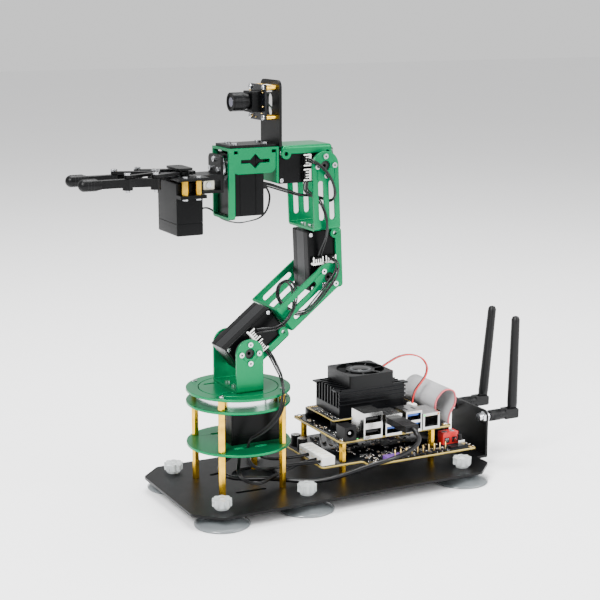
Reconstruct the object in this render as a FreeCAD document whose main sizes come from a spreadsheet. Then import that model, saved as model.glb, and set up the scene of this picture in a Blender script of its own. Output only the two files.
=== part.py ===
import FreeCAD, Part
import math
import os
import re

# Desktop robot arm: a five-axis servo arm with a two-finger gripper, a camera and its control boards,
# on a plate with six suction feet.  Millimetres.  +X runs from the arm to the boards, +Y away from the
# ports' side, +Z up.  The origin is where the yaw axis meets the bench.

Vector = FreeCAD.Vector
Rotation = FreeCAD.Rotation
Placement = FreeCAD.Placement

DIMS = {
    # base plate and suction feet
    "plate_left": -58.5, "plate_right": 194.7, "plate_half": 63, "plate_corner": 17,
    "plate_top": 11.4, "plate_thick": 2,
    "foot_left": -34.45, "foot_mid": 34.2, "foot_right": 170.5, "foot_side": 45.5,
    "cup_radius": 20.4, "knob_radius": 7.2,
    # turntable
    "disc_radius": 39, "disc_thick": 2, "post_side": 24.6, "post_radius": 2.8,
    "lower_disc_top": 45.7, "bearing_plate_top": 77.6, "turntable_top": 87.2,
    "ring_bore": 30, "rotor_radius": 29.4, "race_outer": 31.3, "race_inner": 22,
    "race_gap_outer": 27.6, "race_gap_inner": 26.4, "ball_circle": 27, "ball_radius": 1.6,
    # servos: length along the link, width across it, depth along the shaft
    "servo_front": 34.2, "servo_back": 11, "servo_width": 24.7, "servo_depth": 26,
    "servo_corner": 1.2, "yaw_servo_depth": 33, "servo_bore": 4.05, "boss_radius": 4, "bore_depth": 4,
    "horn_radius": 9.6, "horn_thick": 3.2,
    # sheet metal
    "sheet": 2, "ear_inner": 19.4, "ear_radius": 10.8, "ear_hole": 3.8, "horn_circle": 7,
    "screw_hole": 1.15, "screw_head": 1.95, "screw_shank": 1.05, "head_tall": 1.3,
    "pivot_height": 116.17, "link": 82.85, "frame_start": 35.3,
    "slot_start": 42.8, "slot_end": 72.2, "slot_offset": 4.35, "slot_half": 2.25,
    "cradle_wall": 15.4, "cradle_lip": 9.4, "cradle_lug": 3.8, "lug_along": 31.4,
    # wrist: roll frame and camera
    "roll_front": -12.3, "roll_back": 27.2, "roll_half": 14.4, "roll_top": 265, "roll_low": 213.8,
    "roll_axis": 250, "camera_height": 296.8, "camera_top": 312, "camera_half": 15.5,
    # gripper
    "gear_x": -43, "gear_y": 7, "gear_teeth": 14, "idler_x": -62, "idler_y": 2.8, "crank": 28,
    "crank_angle": 22, "grip_plate": 245, "link_level": 248.5, "finger_low": 242.5, "finger_high": 248.2,
    "tip_radius": 4.3, "tip_end": -123.5,
    # boards
    "board_left": 73.2, "board_front": -26, "board_long": 100, "board_wide": 80, "board_top": 39.8,
    "board_thick": 1.6, "hat_left": 57, "hat_right": 189, "hat_front": -38, "hat_back": 50, "hat_top": 22.6,
    "sink_left": 89.5, "sink_front": 6.2, "sink_long": 59, "sink_wide": 39, "sink_top": 70.2,
    "fan_side": 40, "fan_tall": 10, "fan_bore": 19, "hub_radius": 11.5,
    # antennas
    "mast_wall": 206.5, "mast_side": 21, "mast_height": 40.5, "mast_pivot": 234, "mast_long": 80,
}

doc = FreeCAD.newDocument("desktop_robot_arm")
sheet = doc.addObject("Spreadsheet::Sheet", "Dims")
for row, (alias, number) in enumerate(DIMS.items(), 1):
    sheet.set(f"A{row}", alias)
    sheet.set(f"B{row}", str(number))
    sheet.setAlias(f"B{row}", alias)
doc.recompute()


def dim(alias):
    return float(sheet.get(alias))


def bind(obj, prop, value):
    """Set a size: a number as it is, an expression in the sheet's aliases as an expression."""
    if isinstance(value, str):
        obj.setExpression(prop, re.sub(r"[a-z_]{3,}", lambda m: "Dims." + m.group(0), value))
    else:
        setattr(obj, prop, value)


def box(size, corner):
    obj = doc.addObject("Part::Box", "block")
    for prop, value in zip(("Length", "Width", "Height"), size):
        bind(obj, prop, value)
    obj.Placement.Base = Vector(*corner)
    return obj


TURN = {"X": Rotation(Vector(0, 1, 0), 90), "Y": Rotation(Vector(1, 0, 0), -90), "Z": Rotation()}


def rod(radius, length, start, axis="Z"):
    """A cylinder from start along a positive axis."""
    obj = doc.addObject("Part::Cylinder", "rod")
    bind(obj, "Radius", radius)
    bind(obj, "Height", length)
    obj.Placement = Placement(Vector(*start), TURN[axis])
    return obj


def hexagon(radius, length, start):
    obj = doc.addObject("Part::Prism", "hexagon")
    obj.Polygon = 6
    bind(obj, "Circumradius", radius)
    bind(obj, "Height", length)
    obj.Placement.Base = Vector(*start)
    return obj


def ball(radius, centre):
    obj = doc.addObject("Part::Sphere", "ball")
    bind(obj, "Radius", radius)
    obj.Placement.Base = Vector(*centre)
    return obj


def fuse(pieces):
    obj = doc.addObject("Part::MultiFuse", "joined")
    obj.Shapes = pieces
    return obj


def cut(base, tools):
    obj = doc.addObject("Part::Cut", "cut")
    obj.Base = base
    obj.Tool = tools[0] if len(tools) == 1 else fuse(tools)
    return obj


def group(pieces):
    obj = doc.addObject("Part::Compound", "group")
    obj.Links = pieces
    return obj


def rounded(base, radius, wanted):
    """Fillet the edges of base whose midpoint and direction pass wanted(middle, direction)."""
    doc.recompute()
    chosen = []
    for number, edge in enumerate(base.Shape.Edges, 1):
        if edge.Curve.TypeId != "Part::GeomLine":
            continue
        ends = [v.Point for v in edge.Vertexes]
        middle = (ends[0] + ends[1]) * 0.5
        if wanted(middle, (ends[1] - ends[0]).normalize()):
            chosen.append((number, radius, radius))
    obj = doc.addObject("Part::Fillet", "rounded")
    obj.Base = base
    obj.Edges = chosen
    return obj


def slot(start, end, half, low, tall):
    """A round-ended slot between two points of the XY plane."""
    (x0, y0), (x1, y1) = start, end
    long = math.hypot(x1 - x0, y1 - y0)
    bar = box((long, 2 * half, tall), (0, 0, 0))
    turn = Rotation(Vector(0, 0, 1), math.degrees(math.atan2(y1 - y0, x1 - x0)))
    bar.Placement = Placement(Vector(x0, y0, low) + turn.multVec(Vector(0, -half, 0)), turn)
    return fuse([bar, rod(half, tall, (x0, y0, low)), rod(half, tall, (x1, y1, low))])


def lathe(label, profile):
    """A solid of revolution about the body's Z axis from (radius, height) points."""
    body = doc.addObject("PartDesign::Body", label)
    plane = [f for f in body.Origin.OriginFeatures if f.Role == "XZ_Plane"][0]
    axis = [f for f in body.Origin.OriginFeatures if f.Role == "Z_Axis"][0]
    sketch = body.newObject("Sketcher::SketchObject", label + "_profile")
    sketch.AttachmentSupport = [(plane, "")]
    sketch.MapMode = "FlatFace"
    points = [Vector(r, z, 0) for r, z in profile]
    for one, other in zip(points, points[1:] + points[:1]):
        sketch.addGeometry(Part.LineSegment(one, other), False)
    turned = body.newObject("PartDesign::Revolution", label + "_turned")
    turned.Profile = sketch
    turned.ReferenceAxis = (axis, [""])
    turned.Angle = 360
    body.Tip = turned
    return body


PARTS = {}


def part(name, obj, placement=None):
    """Name a finished sub-part, and place it if it was made in a frame of its own."""
    obj.Label = name
    if placement is not None:
        obj.Placement = placement
    PARTS[name] = obj
    return obj


# ---------------------------------------------------------------- places along the arm
def along(angle):
    return Vector(math.cos(math.radians(angle)), 0, math.sin(math.radians(angle)))


UPPER_ARM_ANGLE = 38.0
FOREARM_ANGLE = 92.45
SHOULDER = Vector(0, 0, dim("pivot_height"))
ELBOW = SHOULDER + along(UPPER_ARM_ANGLE) * dim("link")
WRIST = ELBOW + along(FOREARM_ANGLE) * dim("link")


def link_frame(pivot, angle):
    """Local X runs along the link from its pivot, local Y along the pivot's axis."""
    return Placement(pivot, Rotation(Vector(0, 1, 0), -angle))


UPPER_ARM = link_frame(SHOULDER, UPPER_ARM_ANGLE)
FOREARM = link_frame(ELBOW, FOREARM_ANGLE)
HAND = link_frame(WRIST, 180)


# ---------------------------------------------------------------- pieces that repeat
def servo_case(name, placement, depth="servo_depth", socket_places=()):
    """The case about its own shaft: shaft along Y, the long side along +X; sockets stand on the -Y face."""
    front, back, wide, deep = dim("servo_front"), dim("servo_back"), dim("servo_width"), dim(depth)
    case = box(("servo_front + servo_back", depth, "servo_width"), (-back, -deep / 2, -wide / 2))
    case = rounded(case, dim("servo_corner"), lambda middle, run: True)
    bores = [rod("servo_bore", "bore_depth", (0, y, 0), "Y") for y in (-deep / 2, deep / 2 - dim("bore_depth"))]
    seams = []
    for y in (-0.25 * deep, 0.23 * deep):
        outer = box((front + back + 2, 0.4, wide + 2), (-back - 1, y, -wide / 2 - 1))
        inner = box((front + back - 0.7, 0.6, wide - 0.7), (-back + 0.35, y - 0.1, -wide / 2 + 0.35))
        seams.append(cut(outer, [inner]))
    pieces = [cut(case, bores + seams)]
    for x, z in socket_places:
        socket = box((4.6, 3.6, 7.6), (x - 2.3, -deep / 2 - 3.6, z - 3.8))
        pieces.append(cut(socket, [box((4, 2.6, 6.4), (x - 1.6, -deep / 2 - 3.2, z - 3.2))]))
    return part(name, group(pieces), placement)


SOCKETS = [(12.5, 6.3), (12.5, -4.3)]


def horn_pair():
    """The driven disc and the idler disc on the two ends of a servo's shaft, in the link's frame."""
    reach, deep = dim("ear_inner"), dim("servo_depth")
    thick = dim("horn_thick")
    start = deep / 2 - dim("bore_depth") + 0.5
    horns = []
    for side in (-1, 1):
        disc_start = reach - thick if side > 0 else -reach
        boss_start = start if side > 0 else -reach + thick
        disc = rod("horn_radius", "horn_thick", (0, disc_start, 0), "Y")
        boss = rod("boss_radius", reach - thick - start, (0, boss_start, 0), "Y")
        horns.append(cut(fuse([disc, boss]), [rod(1.3, 2 * reach, (0, -reach, 0), "Y")]))
    return horns


def ear_screws(centre_x, first_angle):
    """Four screws a side, through the ears about a pivot, in the link's frame."""
    screws = []
    outer = dim("ear_inner") + dim("sheet")
    for side in (-1, 1):
        for turn in range(4):
            angle = math.radians(first_angle + 90 * turn)
            x = centre_x + dim("horn_circle") * math.cos(angle)
            z = dim("horn_circle") * math.sin(angle)
            head_y = outer if side > 0 else -outer - dim("head_tall")
            shank_y = outer - 1.9 if side > 0 else -outer
            socket_y = head_y + (dim("head_tall") - 0.7 if side > 0 else 0)
            head = cut(rod("screw_head", "head_tall", (x, head_y, z), "Y"), [rod(0.8, 0.7, (x, socket_y, z), "Y")])
            screws.append(fuse([head, rod("screw_shank", 1.9, (x, shank_y, z), "Y")]))
    return screws


def ear_holes(centre_x, first_angle):
    outer = dim("ear_inner") + dim("sheet") + 1
    holes = [rod("ear_hole", 2 * outer, (centre_x, -outer, 0), "Y")]
    for turn in range(4):
        angle = math.radians(first_angle + 90 * turn)
        x = centre_x + dim("horn_circle") * math.cos(angle)
        z = dim("horn_circle") * math.sin(angle)
        holes.append(rod("screw_hole", 2 * outer, (x, -outer, z), "Y"))
    return holes


def u_frame(start, reach, bend):
    """A U of sheet metal: a base across the link at start, and two ears with round ends at reach."""
    half, outer = dim("ear_radius"), dim("ear_inner") + dim("sheet")
    inner = dim("ear_inner")
    blank = box((reach - start, 2 * outer, 2 * half), (start, -outer, -half))
    blank = rounded(blank, bend, lambda m, run: abs(run.z) > 0.9 and m.x < start + 0.1)
    ends = rod("ear_radius", 2 * outer, (reach, -outer, 0), "Y")
    inside = box((reach + half, 2 * inner, 2 * half + 2), (start + dim("sheet"), -inner, -half - 1))
    inside = rounded(inside, 0.6, lambda m, run: abs(run.z) > 0.9 and m.x < start + 2.1)
    return cut(fuse([blank, ends]), [inside])


def truss_slots():
    """Two long windows in each ear, cut right across."""
    outer = dim("ear_inner") + dim("sheet") + 1
    slots = []
    for offset in (-dim("slot_offset"), dim("slot_offset")):
        half = dim("slot_half")
        start, end = dim("slot_start") + half, dim("slot_end") - half
        bar = box((end - start, 2 * outer, 2 * half), (start, -outer, offset - half))
        ends = [rod("slot_half", 2 * outer, (x, -outer, offset), "Y") for x in (start, end)]
        slots.append(fuse([bar] + ends))
    return slots


END_SCREWS = [(-6, -6), (-6, 6), (6, -6), (6, 6)]


def link_frame_part(name, placement, screw_angle):
    """The long U bracket from a servo's end to the next pivot."""
    start, reach = dim("frame_start"), dim("link")
    frame = u_frame(start, reach, 2.6)
    holes = [rod("screw_hole", 6, (start - 2, y, z), "X") for y, z in END_SCREWS]
    return part(name, cut(frame, truss_slots() + ear_holes(reach, screw_angle) + holes), placement)


def end_screws(x):
    """Screws through a bracket's base into the end of the servo behind it; heads start at x."""
    screws = []
    for y, z in END_SCREWS:
        head = cut(rod("screw_head", "head_tall", (x, y, z), "X"), [rod(0.8, 0.7, (x + dim("head_tall") - 0.7, y, z), "X")])
        screws.append(fuse([head, rod("screw_shank", 1.9, (x - 1.9, y, z), "X")]))
    return screws


def cradle(name, placement, start, end):
    """The channel that holds a servo: a wall under its narrow side, and a lip on each face."""
    wall, lip, deep = dim("cradle_wall"), dim("cradle_lip"), dim("servo_depth") / 2
    thick = dim("sheet")
    outer = deep + thick
    blank = box((end - start, 2 * outer, wall - lip), (start, -outer, -wall))
    blank = rounded(blank, 2.2, lambda m, run: abs(run.x) > 0.9 and m.z < -wall + 0.1)
    blank = rounded(blank, 2.8, lambda m, run: abs(run.z) > 0.9 or (abs(run.y) > 0.9 and m.z < -wall + 0.1))
    lug_centres = (dim("lug_along") - dim("servo_front") + end - 0.8, start + 4.5)
    lugs = [rod("cradle_lug", 2 * outer, (x, -outer, -lip), "Y") for x in lug_centres]
    holes = [rod(1.6, 2 * outer + 2, (x, -outer - 1, -lip), "Y") for x in lug_centres]
    inside = box((end - start + 2, 2 * deep, wall + lip), (start - 1, -deep, -wall + thick))
    return part(name, cut(fuse([blank] + lugs), [inside] + holes), placement)


# ---------------------------------------------------------------- base plate and feet
MAST_SCREWS = [(x, y) for x in (181, 190) for y in (-8, 8)]


def base_plate():
    left, right, half = dim("plate_left"), dim("plate_right"), dim("plate_half")
    low = dim("plate_top") - dim("plate_thick")
    plate = box(("plate_right - plate_left", "2 * plate_half", "plate_thick"), (left, -half, low))
    doc.recompute()
    corners = []
    for number, edge in enumerate(plate.Shape.Edges, 1):
        if abs(edge.tangentAt(edge.FirstParameter).z) > 0.9:
            corners.append((number, dim("plate_corner"), dim("plate_corner")))
    chamfered = doc.addObject("Part::Chamfer", "chamfered")
    chamfered.Base = plate
    chamfered.Edges = corners
    plate = rounded(chamfered, 5, lambda middle, run: abs(run.z) > 0.9)
    holes = [rod(2.8, 4, (x, y, low - 1)) for x, y in foot_places()]
    holes += [rod(1.5, 4, (x, y, low - 1)) for x, y in MAST_SCREWS]
    holes.append(rod(18, 4, (19, 12, low - 1)))
    holes.append(slot((-10, -20), (11, -21), 1.8, low - 1, 4))
    holes.append(slot((-11, 25.5), (0, 28), 1.8, low - 1, 4))
    part("base_plate", cut(plate, holes))


def foot_places():
    rows = (dim("foot_left"), dim("foot_mid"), dim("foot_right"))
    return [(x, y) for x in rows for y in (-dim("foot_side"), dim("foot_side"))]


def feet():
    under = dim("plate_top") - dim("plate_thick")
    rim = dim("cup_radius")
    cups, knobs = [], []
    for number, (x, y) in enumerate(foot_places()):
        cup = lathe(f"cup_{number}", [
            (rim - 1.6, 0), (rim, 0), (rim, 0.9), (rim - 5, 3.3), (11, 5.6), (6.5, 6.6), (6.5, under),
            (2.5, under), (2.5, 17), (0, 17), (0, 4.2), (9, 3.6), (rim - 6, 1.9)])
        cup.Placement.Base = Vector(x, y, 0)
        cups.append(cup)
        lobes = [rod(5.9, 5.6, (x, y, dim("plate_top") + 2.2)), rod(5, 2.2, (x, y, dim("plate_top")))]
        for lobe in range(8):
            angle = math.radians(45 * lobe + 22.5)
            place = (x + 5.2 * math.cos(angle), y + 5.2 * math.sin(angle), dim("plate_top") + 2.2)
            lobes.append(rod("knob_radius - 5.2", 5.6, place))
        knobs.append(cut(fuse(lobes), [rod(2.6, 6, (x, y, dim("plate_top") - 0.1))]))
    part("suction_cups", group(cups))
    part("cup_knobs", group(knobs))


# ---------------------------------------------------------------- turntable
def post_places():
    side = dim("post_side")
    return [(x, y) for x in (-side, side) for y in (-side, side)]


def turntable():
    thick, radius = dim("disc_thick"), "disc_radius"
    lower, middle, top = dim("lower_disc_top"), dim("bearing_plate_top"), dim("turntable_top")
    posts = []
    for x, y in post_places():
        for low, high in ((dim("plate_top"), lower - thick), (lower, middle - thick), (middle, top - thick)):
            posts.append(hexagon("post_radius", high - low, (x, y, low)))
    opening = (dim("servo_front") + dim("servo_back") + 0.8, dim("servo_width") + 0.8, 10)
    corner = (-dim("servo_back") - 0.4, -dim("servo_width") / 2 - 0.4)
    cable_slots = [slot((-12, y), (-2.8, y), 1.7, lower - 4, 8) for y in (-20.6, 20.6)]
    cable_slots += [slot((5, y), (12, y), 1.7, lower - 4, 8) for y in (-21.6, 21.6)]
    disc = rod(radius, "disc_thick", (0, 0, lower - thick))
    discs = [cut(disc, [box(opening, (*corner, lower - 5))] + cable_slots)]
    disc = rod(radius, "disc_thick", (0, 0, middle - thick))
    discs.append(cut(disc, [box(opening, (*corner, middle - 5))]))
    screw_holes = [rod("screw_hole", 4, (x, y, top - 3)) for x, y in post_places()]
    ring = rod(radius, "disc_thick", (0, 0, top - thick))
    discs.append(cut(ring, [rod("ring_bore", 6, (0, 0, top - 4))] + screw_holes))
    part("fixed_discs", group(discs))

    race_low, race_high = middle, top - thick - 0.4
    groove = doc.addObject("Part::Torus", "ball_groove")
    bind(groove, "Radius1", "ball_circle")
    bind(groove, "Radius2", "ball_radius + 0.12")
    groove.Placement.Base = Vector(0, 0, (race_low + race_high) / 2)
    race = rod("race_outer", race_high - race_low, (0, 0, race_low))
    outer_race = cut(race, [rod("race_gap_outer", 20, (0, 0, race_low - 5)), groove])
    balls = []
    for number in range(18):
        angle = math.radians(20 * number)
        reach = dim("ball_circle")
        balls.append(ball("ball_radius", (reach * math.cos(angle), reach * math.sin(angle), (race_low + race_high) / 2)))
    part("ball_bearing", group([outer_race] + balls))
    race = rod("race_gap_inner", top - thick - race_low - 0.6, (0, 0, race_low + 0.6))
    other_groove = doc.copyObject(groove)
    inner_race = cut(race, [rod("race_inner", 20, (0, 0, race_low - 5)), other_groove])
    rotor = rod("rotor_radius", "disc_thick", (0, 0, top - thick))
    rotor_holes = [slot((-20, y), (-12, y), 1.2, top - 4, 6) for y in (-15, 15)]
    part("rotor_disc", cut(rotor, rotor_holes))
    return posts, inner_race


def yaw_hardware():
    """Yaw horn under the rotor disc."""
    servo_top = 77.0
    low, top = servo_top - dim("bore_depth") + 0.5, dim("turntable_top") - dim("disc_thick")
    return fuse([rod("boss_radius", top - 3 - low, (0, 0, low)), rod("horn_radius", 3, (0, 0, top - 3))])


def shoulder_bracket():
    """The short U that carries the shoulder servo, with its base on the rotor disc."""
    reach = dim("pivot_height") - dim("turntable_top")
    blank = u_frame(0, reach, 1.6)
    base_holes = [rod("screw_hole", 6, (-2, y, z), "X") for y, z in END_SCREWS]
    upright = Placement(Vector(0, 0, dim("turntable_top")), Rotation(Vector(0, 1, 0), -90))
    part("shoulder_bracket", cut(blank, ear_holes(reach, 0) + base_holes), upright)


def seated(obj, placement):
    obj.Placement = placement
    return obj


def base_screws():
    screws = []
    top = dim("turntable_top")
    for x, y in post_places():
        head = rod("screw_head", "head_tall", (x, y, top))
        socket = rod(0.8, 0.7, (x, y, top + dim("head_tall") - 0.7))
        screws.append(fuse([cut(head, [socket]), rod("screw_shank", 1.9, (x, y, top - 1.9))]))
    return screws


# ---------------------------------------------------------------- wrist, roll frame and camera
def roll_frame():
    front, back, half = dim("roll_front"), dim("roll_back"), dim("roll_half")
    top, low, thick = dim("roll_top"), dim("roll_low"), 1.8
    ring = box((4.8, 2 * half, top - low), (front, -half, low))
    ring = rounded(ring, 2.5, lambda m, run: abs(run.x) > 0.9)
    window = box((8, 2 * (half - thick), top - low - 2 * thick), (front - 1, -half + thick, low + thick))
    deck = box((back - front, 2 * half, thick), (front, -half, top - thick))
    wall = box((thick, 2 * half, top - 238.7), (back - thick, -half, 238.7))
    tabs = []
    for y in (-half, half - thick):
        tab = box((24.8 - front - 3, thick, top - 246.5), (front + 3, y, 246.5))
        tabs.append(rounded(tab, 5, lambda m, run: abs(run.y) > 0.9 and m.z < 247))
    star = []
    cross_x, cross_z = 8.6, 255.4
    star.append(box((22.6, 2 * half + 2, 2.6), (cross_x - 11.3, -half - 1, cross_z - 1.3)))
    diamond = box((7.6, 2 * half + 2, 7.6), (0, 0, 0))
    tilt = Rotation(Vector(0, 1, 0), 45)
    diamond.Placement = Placement(Vector(cross_x, -half - 1, cross_z) + tilt.multVec(Vector(-3.8, 0, -3.8)), tilt)
    star.append(diamond)
    reliefs = [box((3.2, 2 * half + 2, 2.2), (x, -half - 1, top - thick - 2.2)) for x in (front + 4.2, 21.6)]
    bore = rod(3.5, 6, (back - 4, 0, dim("roll_axis")), "X")
    frame = cut(fuse([cut(ring, [window]), deck, wall] + tabs), star + reliefs + [bore])
    part("roll_frame", frame)


def camera():
    foot_low, foot_left, leg_right = dim("roll_top"), -10.4, 29.3
    thick, half = 2, dim("camera_half")
    foot = box((leg_right - foot_left, 25, thick), (foot_left, -12.5, foot_low))
    leg = box((thick, 2 * half, dim("camera_top") - foot_low), (leg_right - thick, -half, foot_low))
    leg = rounded(leg, 5, lambda m, run: abs(run.x) > 0.9 and m.z > 300)
    window = fuse([box((6, 9, 8), (leg_right - 4, -3.5, 290)), rod(4.5, 6, (leg_right - 4, 1, 290), "X"),
                   rod(4.5, 6, (leg_right - 4, 1, 298), "X")])
    holes = [rod(1.6, 6, (x, y, foot_low - 2)) for x in (-4, 20) for y in (-6, 6)]
    plate = cut(fuse([foot, leg]), [window] + holes)
    screws = []
    for x in (-4, 20):
        for y in (-6, 6):
            screws.append(fuse([rod(2.3, 1.2, (x, y, foot_low + thick)), rod(1.5, 2, (x, y, foot_low))]))
    part("camera_bracket", group([plate] + screws))

    level = dim("camera_height")
    board = box((1.6, 26, 25.5), (17, -13, level - 13.3))
    plug = box((6.6, 8, 5), (18.6, -8, level + 6.8))
    holder = box((7.4, 15, 15), (9.6, -7.5, level - 7.5))
    holder = rounded(holder, 1.2, lambda m, run: abs(run.x) > 0.9)
    holder = cut(holder, [rod(5.05, 9, (9, 0, level), "X")])
    pillars = [rod(2, 8.7, (18.6, y, level + z), "X") for y in (-10.5, 10.5) for z in (-11, 10)]
    part("camera_board", group([board, plug, holder] + pillars))
    barrel = fuse([rod(6.8, 9.8, (-4.1, 0, level), "X"), rod(5.9, 3.4, (5.7, 0, level), "X"),
                   rod(5, 6.5, (9.1, 0, level), "X")])
    part("camera_lens", cut(barrel, [rod(5.2, 1.2, (-4.1, 0, level), "X")]))


# ---------------------------------------------------------------- gripper
GEAR = Vector(dim("gear_x"), dim("gear_y"), 0)
IDLER = Vector(dim("idler_x"), dim("idler_y"), 0)
OFF_CRANK = Vector(-math.cos(math.radians(dim("crank_angle"))), math.sin(math.radians(dim("crank_angle"))), 0)
REAR_PIN = GEAR + OFF_CRANK * dim("crank")
FRONT_PIN = IDLER + OFF_CRANK * dim("crank")


def mirrored(point, side):
    return Vector(point.x, side * point.y, point.z)


def bar_between(one, other, half, low, tall):
    return slot((one.x, one.y), (other.x, other.y), half, low, tall)


def gripper_side(name, side):
    """One finger with its geared crank and its idler link; side is -1 or +1 along Y."""
    gear, idler = mirrored(GEAR, side), mirrored(IDLER, side)
    rear, front = mirrored(REAR_PIN, side), mirrored(FRONT_PIN, side)
    level = dim("link_level")
    teeth = []
    for number in range(int(dim("gear_teeth"))):
        step = 360 / dim("gear_teeth")
        angle = 90 + (number if side < 0 else number + 0.5) * step
        turn = Rotation(Vector(0, 0, 1), angle)
        tooth = box((2.6, 1.1, 2), (0, 0, 0))
        tooth.Placement = Placement(Vector(gear.x, gear.y, level) + turn.multVec(Vector(5.1, -0.55, 0)), turn)
        teeth.append(tooth)
    wheel = fuse([rod(5.9, 2, (gear.x, gear.y, level)), bar_between(gear, rear, 2.6, level, 2)] + teeth)
    rear_hole = rod(1.6, 4, (rear.x, rear.y, level - 1))
    if side < 0:
        shaft = rod(2.9, level - 240.2, (gear.x, gear.y, 240.2))
        crank = fuse([cut(wheel, [rear_hole]), shaft, rod(2.4, 0.7, (gear.x, gear.y, level + 2))])
    else:
        crank = cut(wheel, [rear_hole, rod(2.05, 4, (gear.x, gear.y, level - 1))])
    part(name + "_gear_arm", crank)

    link = bar_between(idler, front, 2.3, level, 2)
    part(name + "_link", cut(link, [rod(1.55, 4, (idler.x, idler.y, level - 1)), rod(1.9, 4, (front.x, front.y, level - 1))]))

    low, high = dim("finger_low"), dim("finger_high")
    tip_y = side * 13.5
    neck = Vector(-108.5, tip_y, 0)
    pieces = [bar_between(rear, front, 3, low, high - low), bar_between(front, neck, 2.8, low, high - low)]
    for pin in (rear, front):
        pieces.append(rod(3.6, 7.8, (pin.x, pin.y, 240.4)))
        pieces.append(rod(1.5, 252 - 238.5, (pin.x, pin.y, 238.5)))
        pieces.append(rod(2.4, 1.3, (pin.x, pin.y, level + 2.3)))
    pieces.append(rod(2.6, 12, (-118, tip_y, 245.4), "X"))
    bar = fuse(pieces)
    radius, end = dim("tip_radius"), dim("tip_end")
    tip = fuse([rod("tip_radius", 11.4, (end + radius, tip_y, 245.4), "X"), ball("tip_radius", (end + radius, tip_y, 245.4))])
    tip = cut(tip, [rod(2.6, 12, (-118, tip_y, 245.4), "X")])
    tip = cut(tip, [bar_between(front, neck, 2.85, low - 4, 12)])
    part(name + "_finger", group([bar, tip]))


def hand():
    plate_low, level = dim("grip_plate"), dim("link_level")
    axis = dim("roll_axis")
    face = box((2, 22, 26.5), (-17, -11, 234))
    face = rounded(face, 4, lambda m, run: abs(run.x) > 0.9 and m.z > 255)
    shelf = box((14.5, 22, 2), (-31.5, -11, plate_low - 2))
    floor = box((14.5, 22, 2), (-31.5, -11, 234))
    holes = [rod("screw_hole", 4, (-18, y, axis + z), "X") for y, z in HORN_SCREWS]
    part("hand_bracket", cut(fuse([face, shelf, floor]), holes))

    case = box((20, 36, 38), (-53, -16, 205.5))
    case = rounded(case, 1, lambda m, run: True)
    tab = box((20, 50, 2.5), (-53, -23, 232.5))
    tab_holes = [rod(1.1, 4, (x, y, 231.5)) for x, y in TAB_SCREWS]
    bore = rod(2.95, 5, (GEAR.x, -GEAR.y, 239.7))
    seam_outer = box((24, 40, 0.5), (-55, -18, 214))
    seam_inner = box((19.2, 35.2, 0.7), (-52.6, -15.6, 213.9))
    part("grip_servo", cut(fuse([case, tab]), tab_holes + [bore, cut(seam_outer, [seam_inner])]))

    deck = box((23, 50, 2), (-54, -23, plate_low))
    tongue = box((13, 14, 2), (-65.5, -7, plate_low))
    tail = box((15, 22, 2), (-32, -11, plate_low))
    deck = fuse([deck, tongue, tail])
    doc.recompute()
    deck_holes = [rod(3.3, 4, (GEAR.x, -GEAR.y, plate_low - 1)), rod(2, 4, (GEAR.x, GEAR.y, plate_low - 1))]
    deck_holes += [rod(1.5, 4, (IDLER.x, y, plate_low - 1)) for y in (-IDLER.y, IDLER.y)]
    deck_holes += [rod(1.1, 4, (x, y, plate_low - 1)) for x, y in TAB_SCREWS]
    cover = box((12, 24, 1.4), (-50, -12, level + 2.9))
    cover = rounded(cover, 3, lambda m, run: abs(run.z) > 0.9)
    cover = cut(cover, [rod(2, 4, (GEAR.x, GEAR.y, level + 1))])
    part("gripper_plate", group([cut(deck, deck_holes), cover]))

    pieces = []
    for x, y in TAB_SCREWS:
        pieces.append(rod(2.4, plate_low - 235, (x, y, 235)))
        pieces.append(fuse([rod(2.1, 1.2, (x, y, 231.3)), rod(1, 2.4, (x, y, 232.5))]))
        pieces.append(fuse([rod(2, 1.1, (x, y, plate_low + 2)), rod(1, 1.9, (x, y, plate_low + 0.1))]))
    pieces.append(rod(2, level + 4.2 - plate_low, (GEAR.x, GEAR.y, plate_low)))
    for y in (-IDLER.y, IDLER.y):
        pieces.append(fuse([rod(1.5, level + 2.3 - plate_low, (IDLER.x, y, plate_low)),
                            rod(2.2, 1.2, (IDLER.x, y, level + 2.3))]))
    pieces.append(roll_horn(axis))
    for y, z in HORN_SCREWS:
        head = cut(rod("screw_head", "head_tall", (-18.3, y, axis + z), "X"), [rod(0.8, 0.7, (-18.3, y, axis + z), "X")])
        pieces.append(fuse([head, rod("screw_shank", 1.9, (-17, y, axis + z), "X")]))
    part("hand_hardware", group(pieces))


TAB_SCREWS = [(x, y) for x in (-48, -38) for y in (-19.5, 23.5)]
HORN_SCREWS = [(7, 0), (-7, 0), (0, 7)]


def roll_horn(axis):
    """The roll servo's disc, its boss into the case and the hub that the hand's bracket sits on."""
    return fuse([rod("boss_radius", 4.2, (-10.2, 0, axis), "X"), rod(9.3, 2.4, (-12.6, 0, axis), "X"),
                 rod(7.6, 2.4, (-15, 0, axis), "X")])


# ---------------------------------------------------------------- boards
BOARD_POSTS = [(x, y) for x in (77, 156.5) for y in (-22, 42)]


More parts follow.
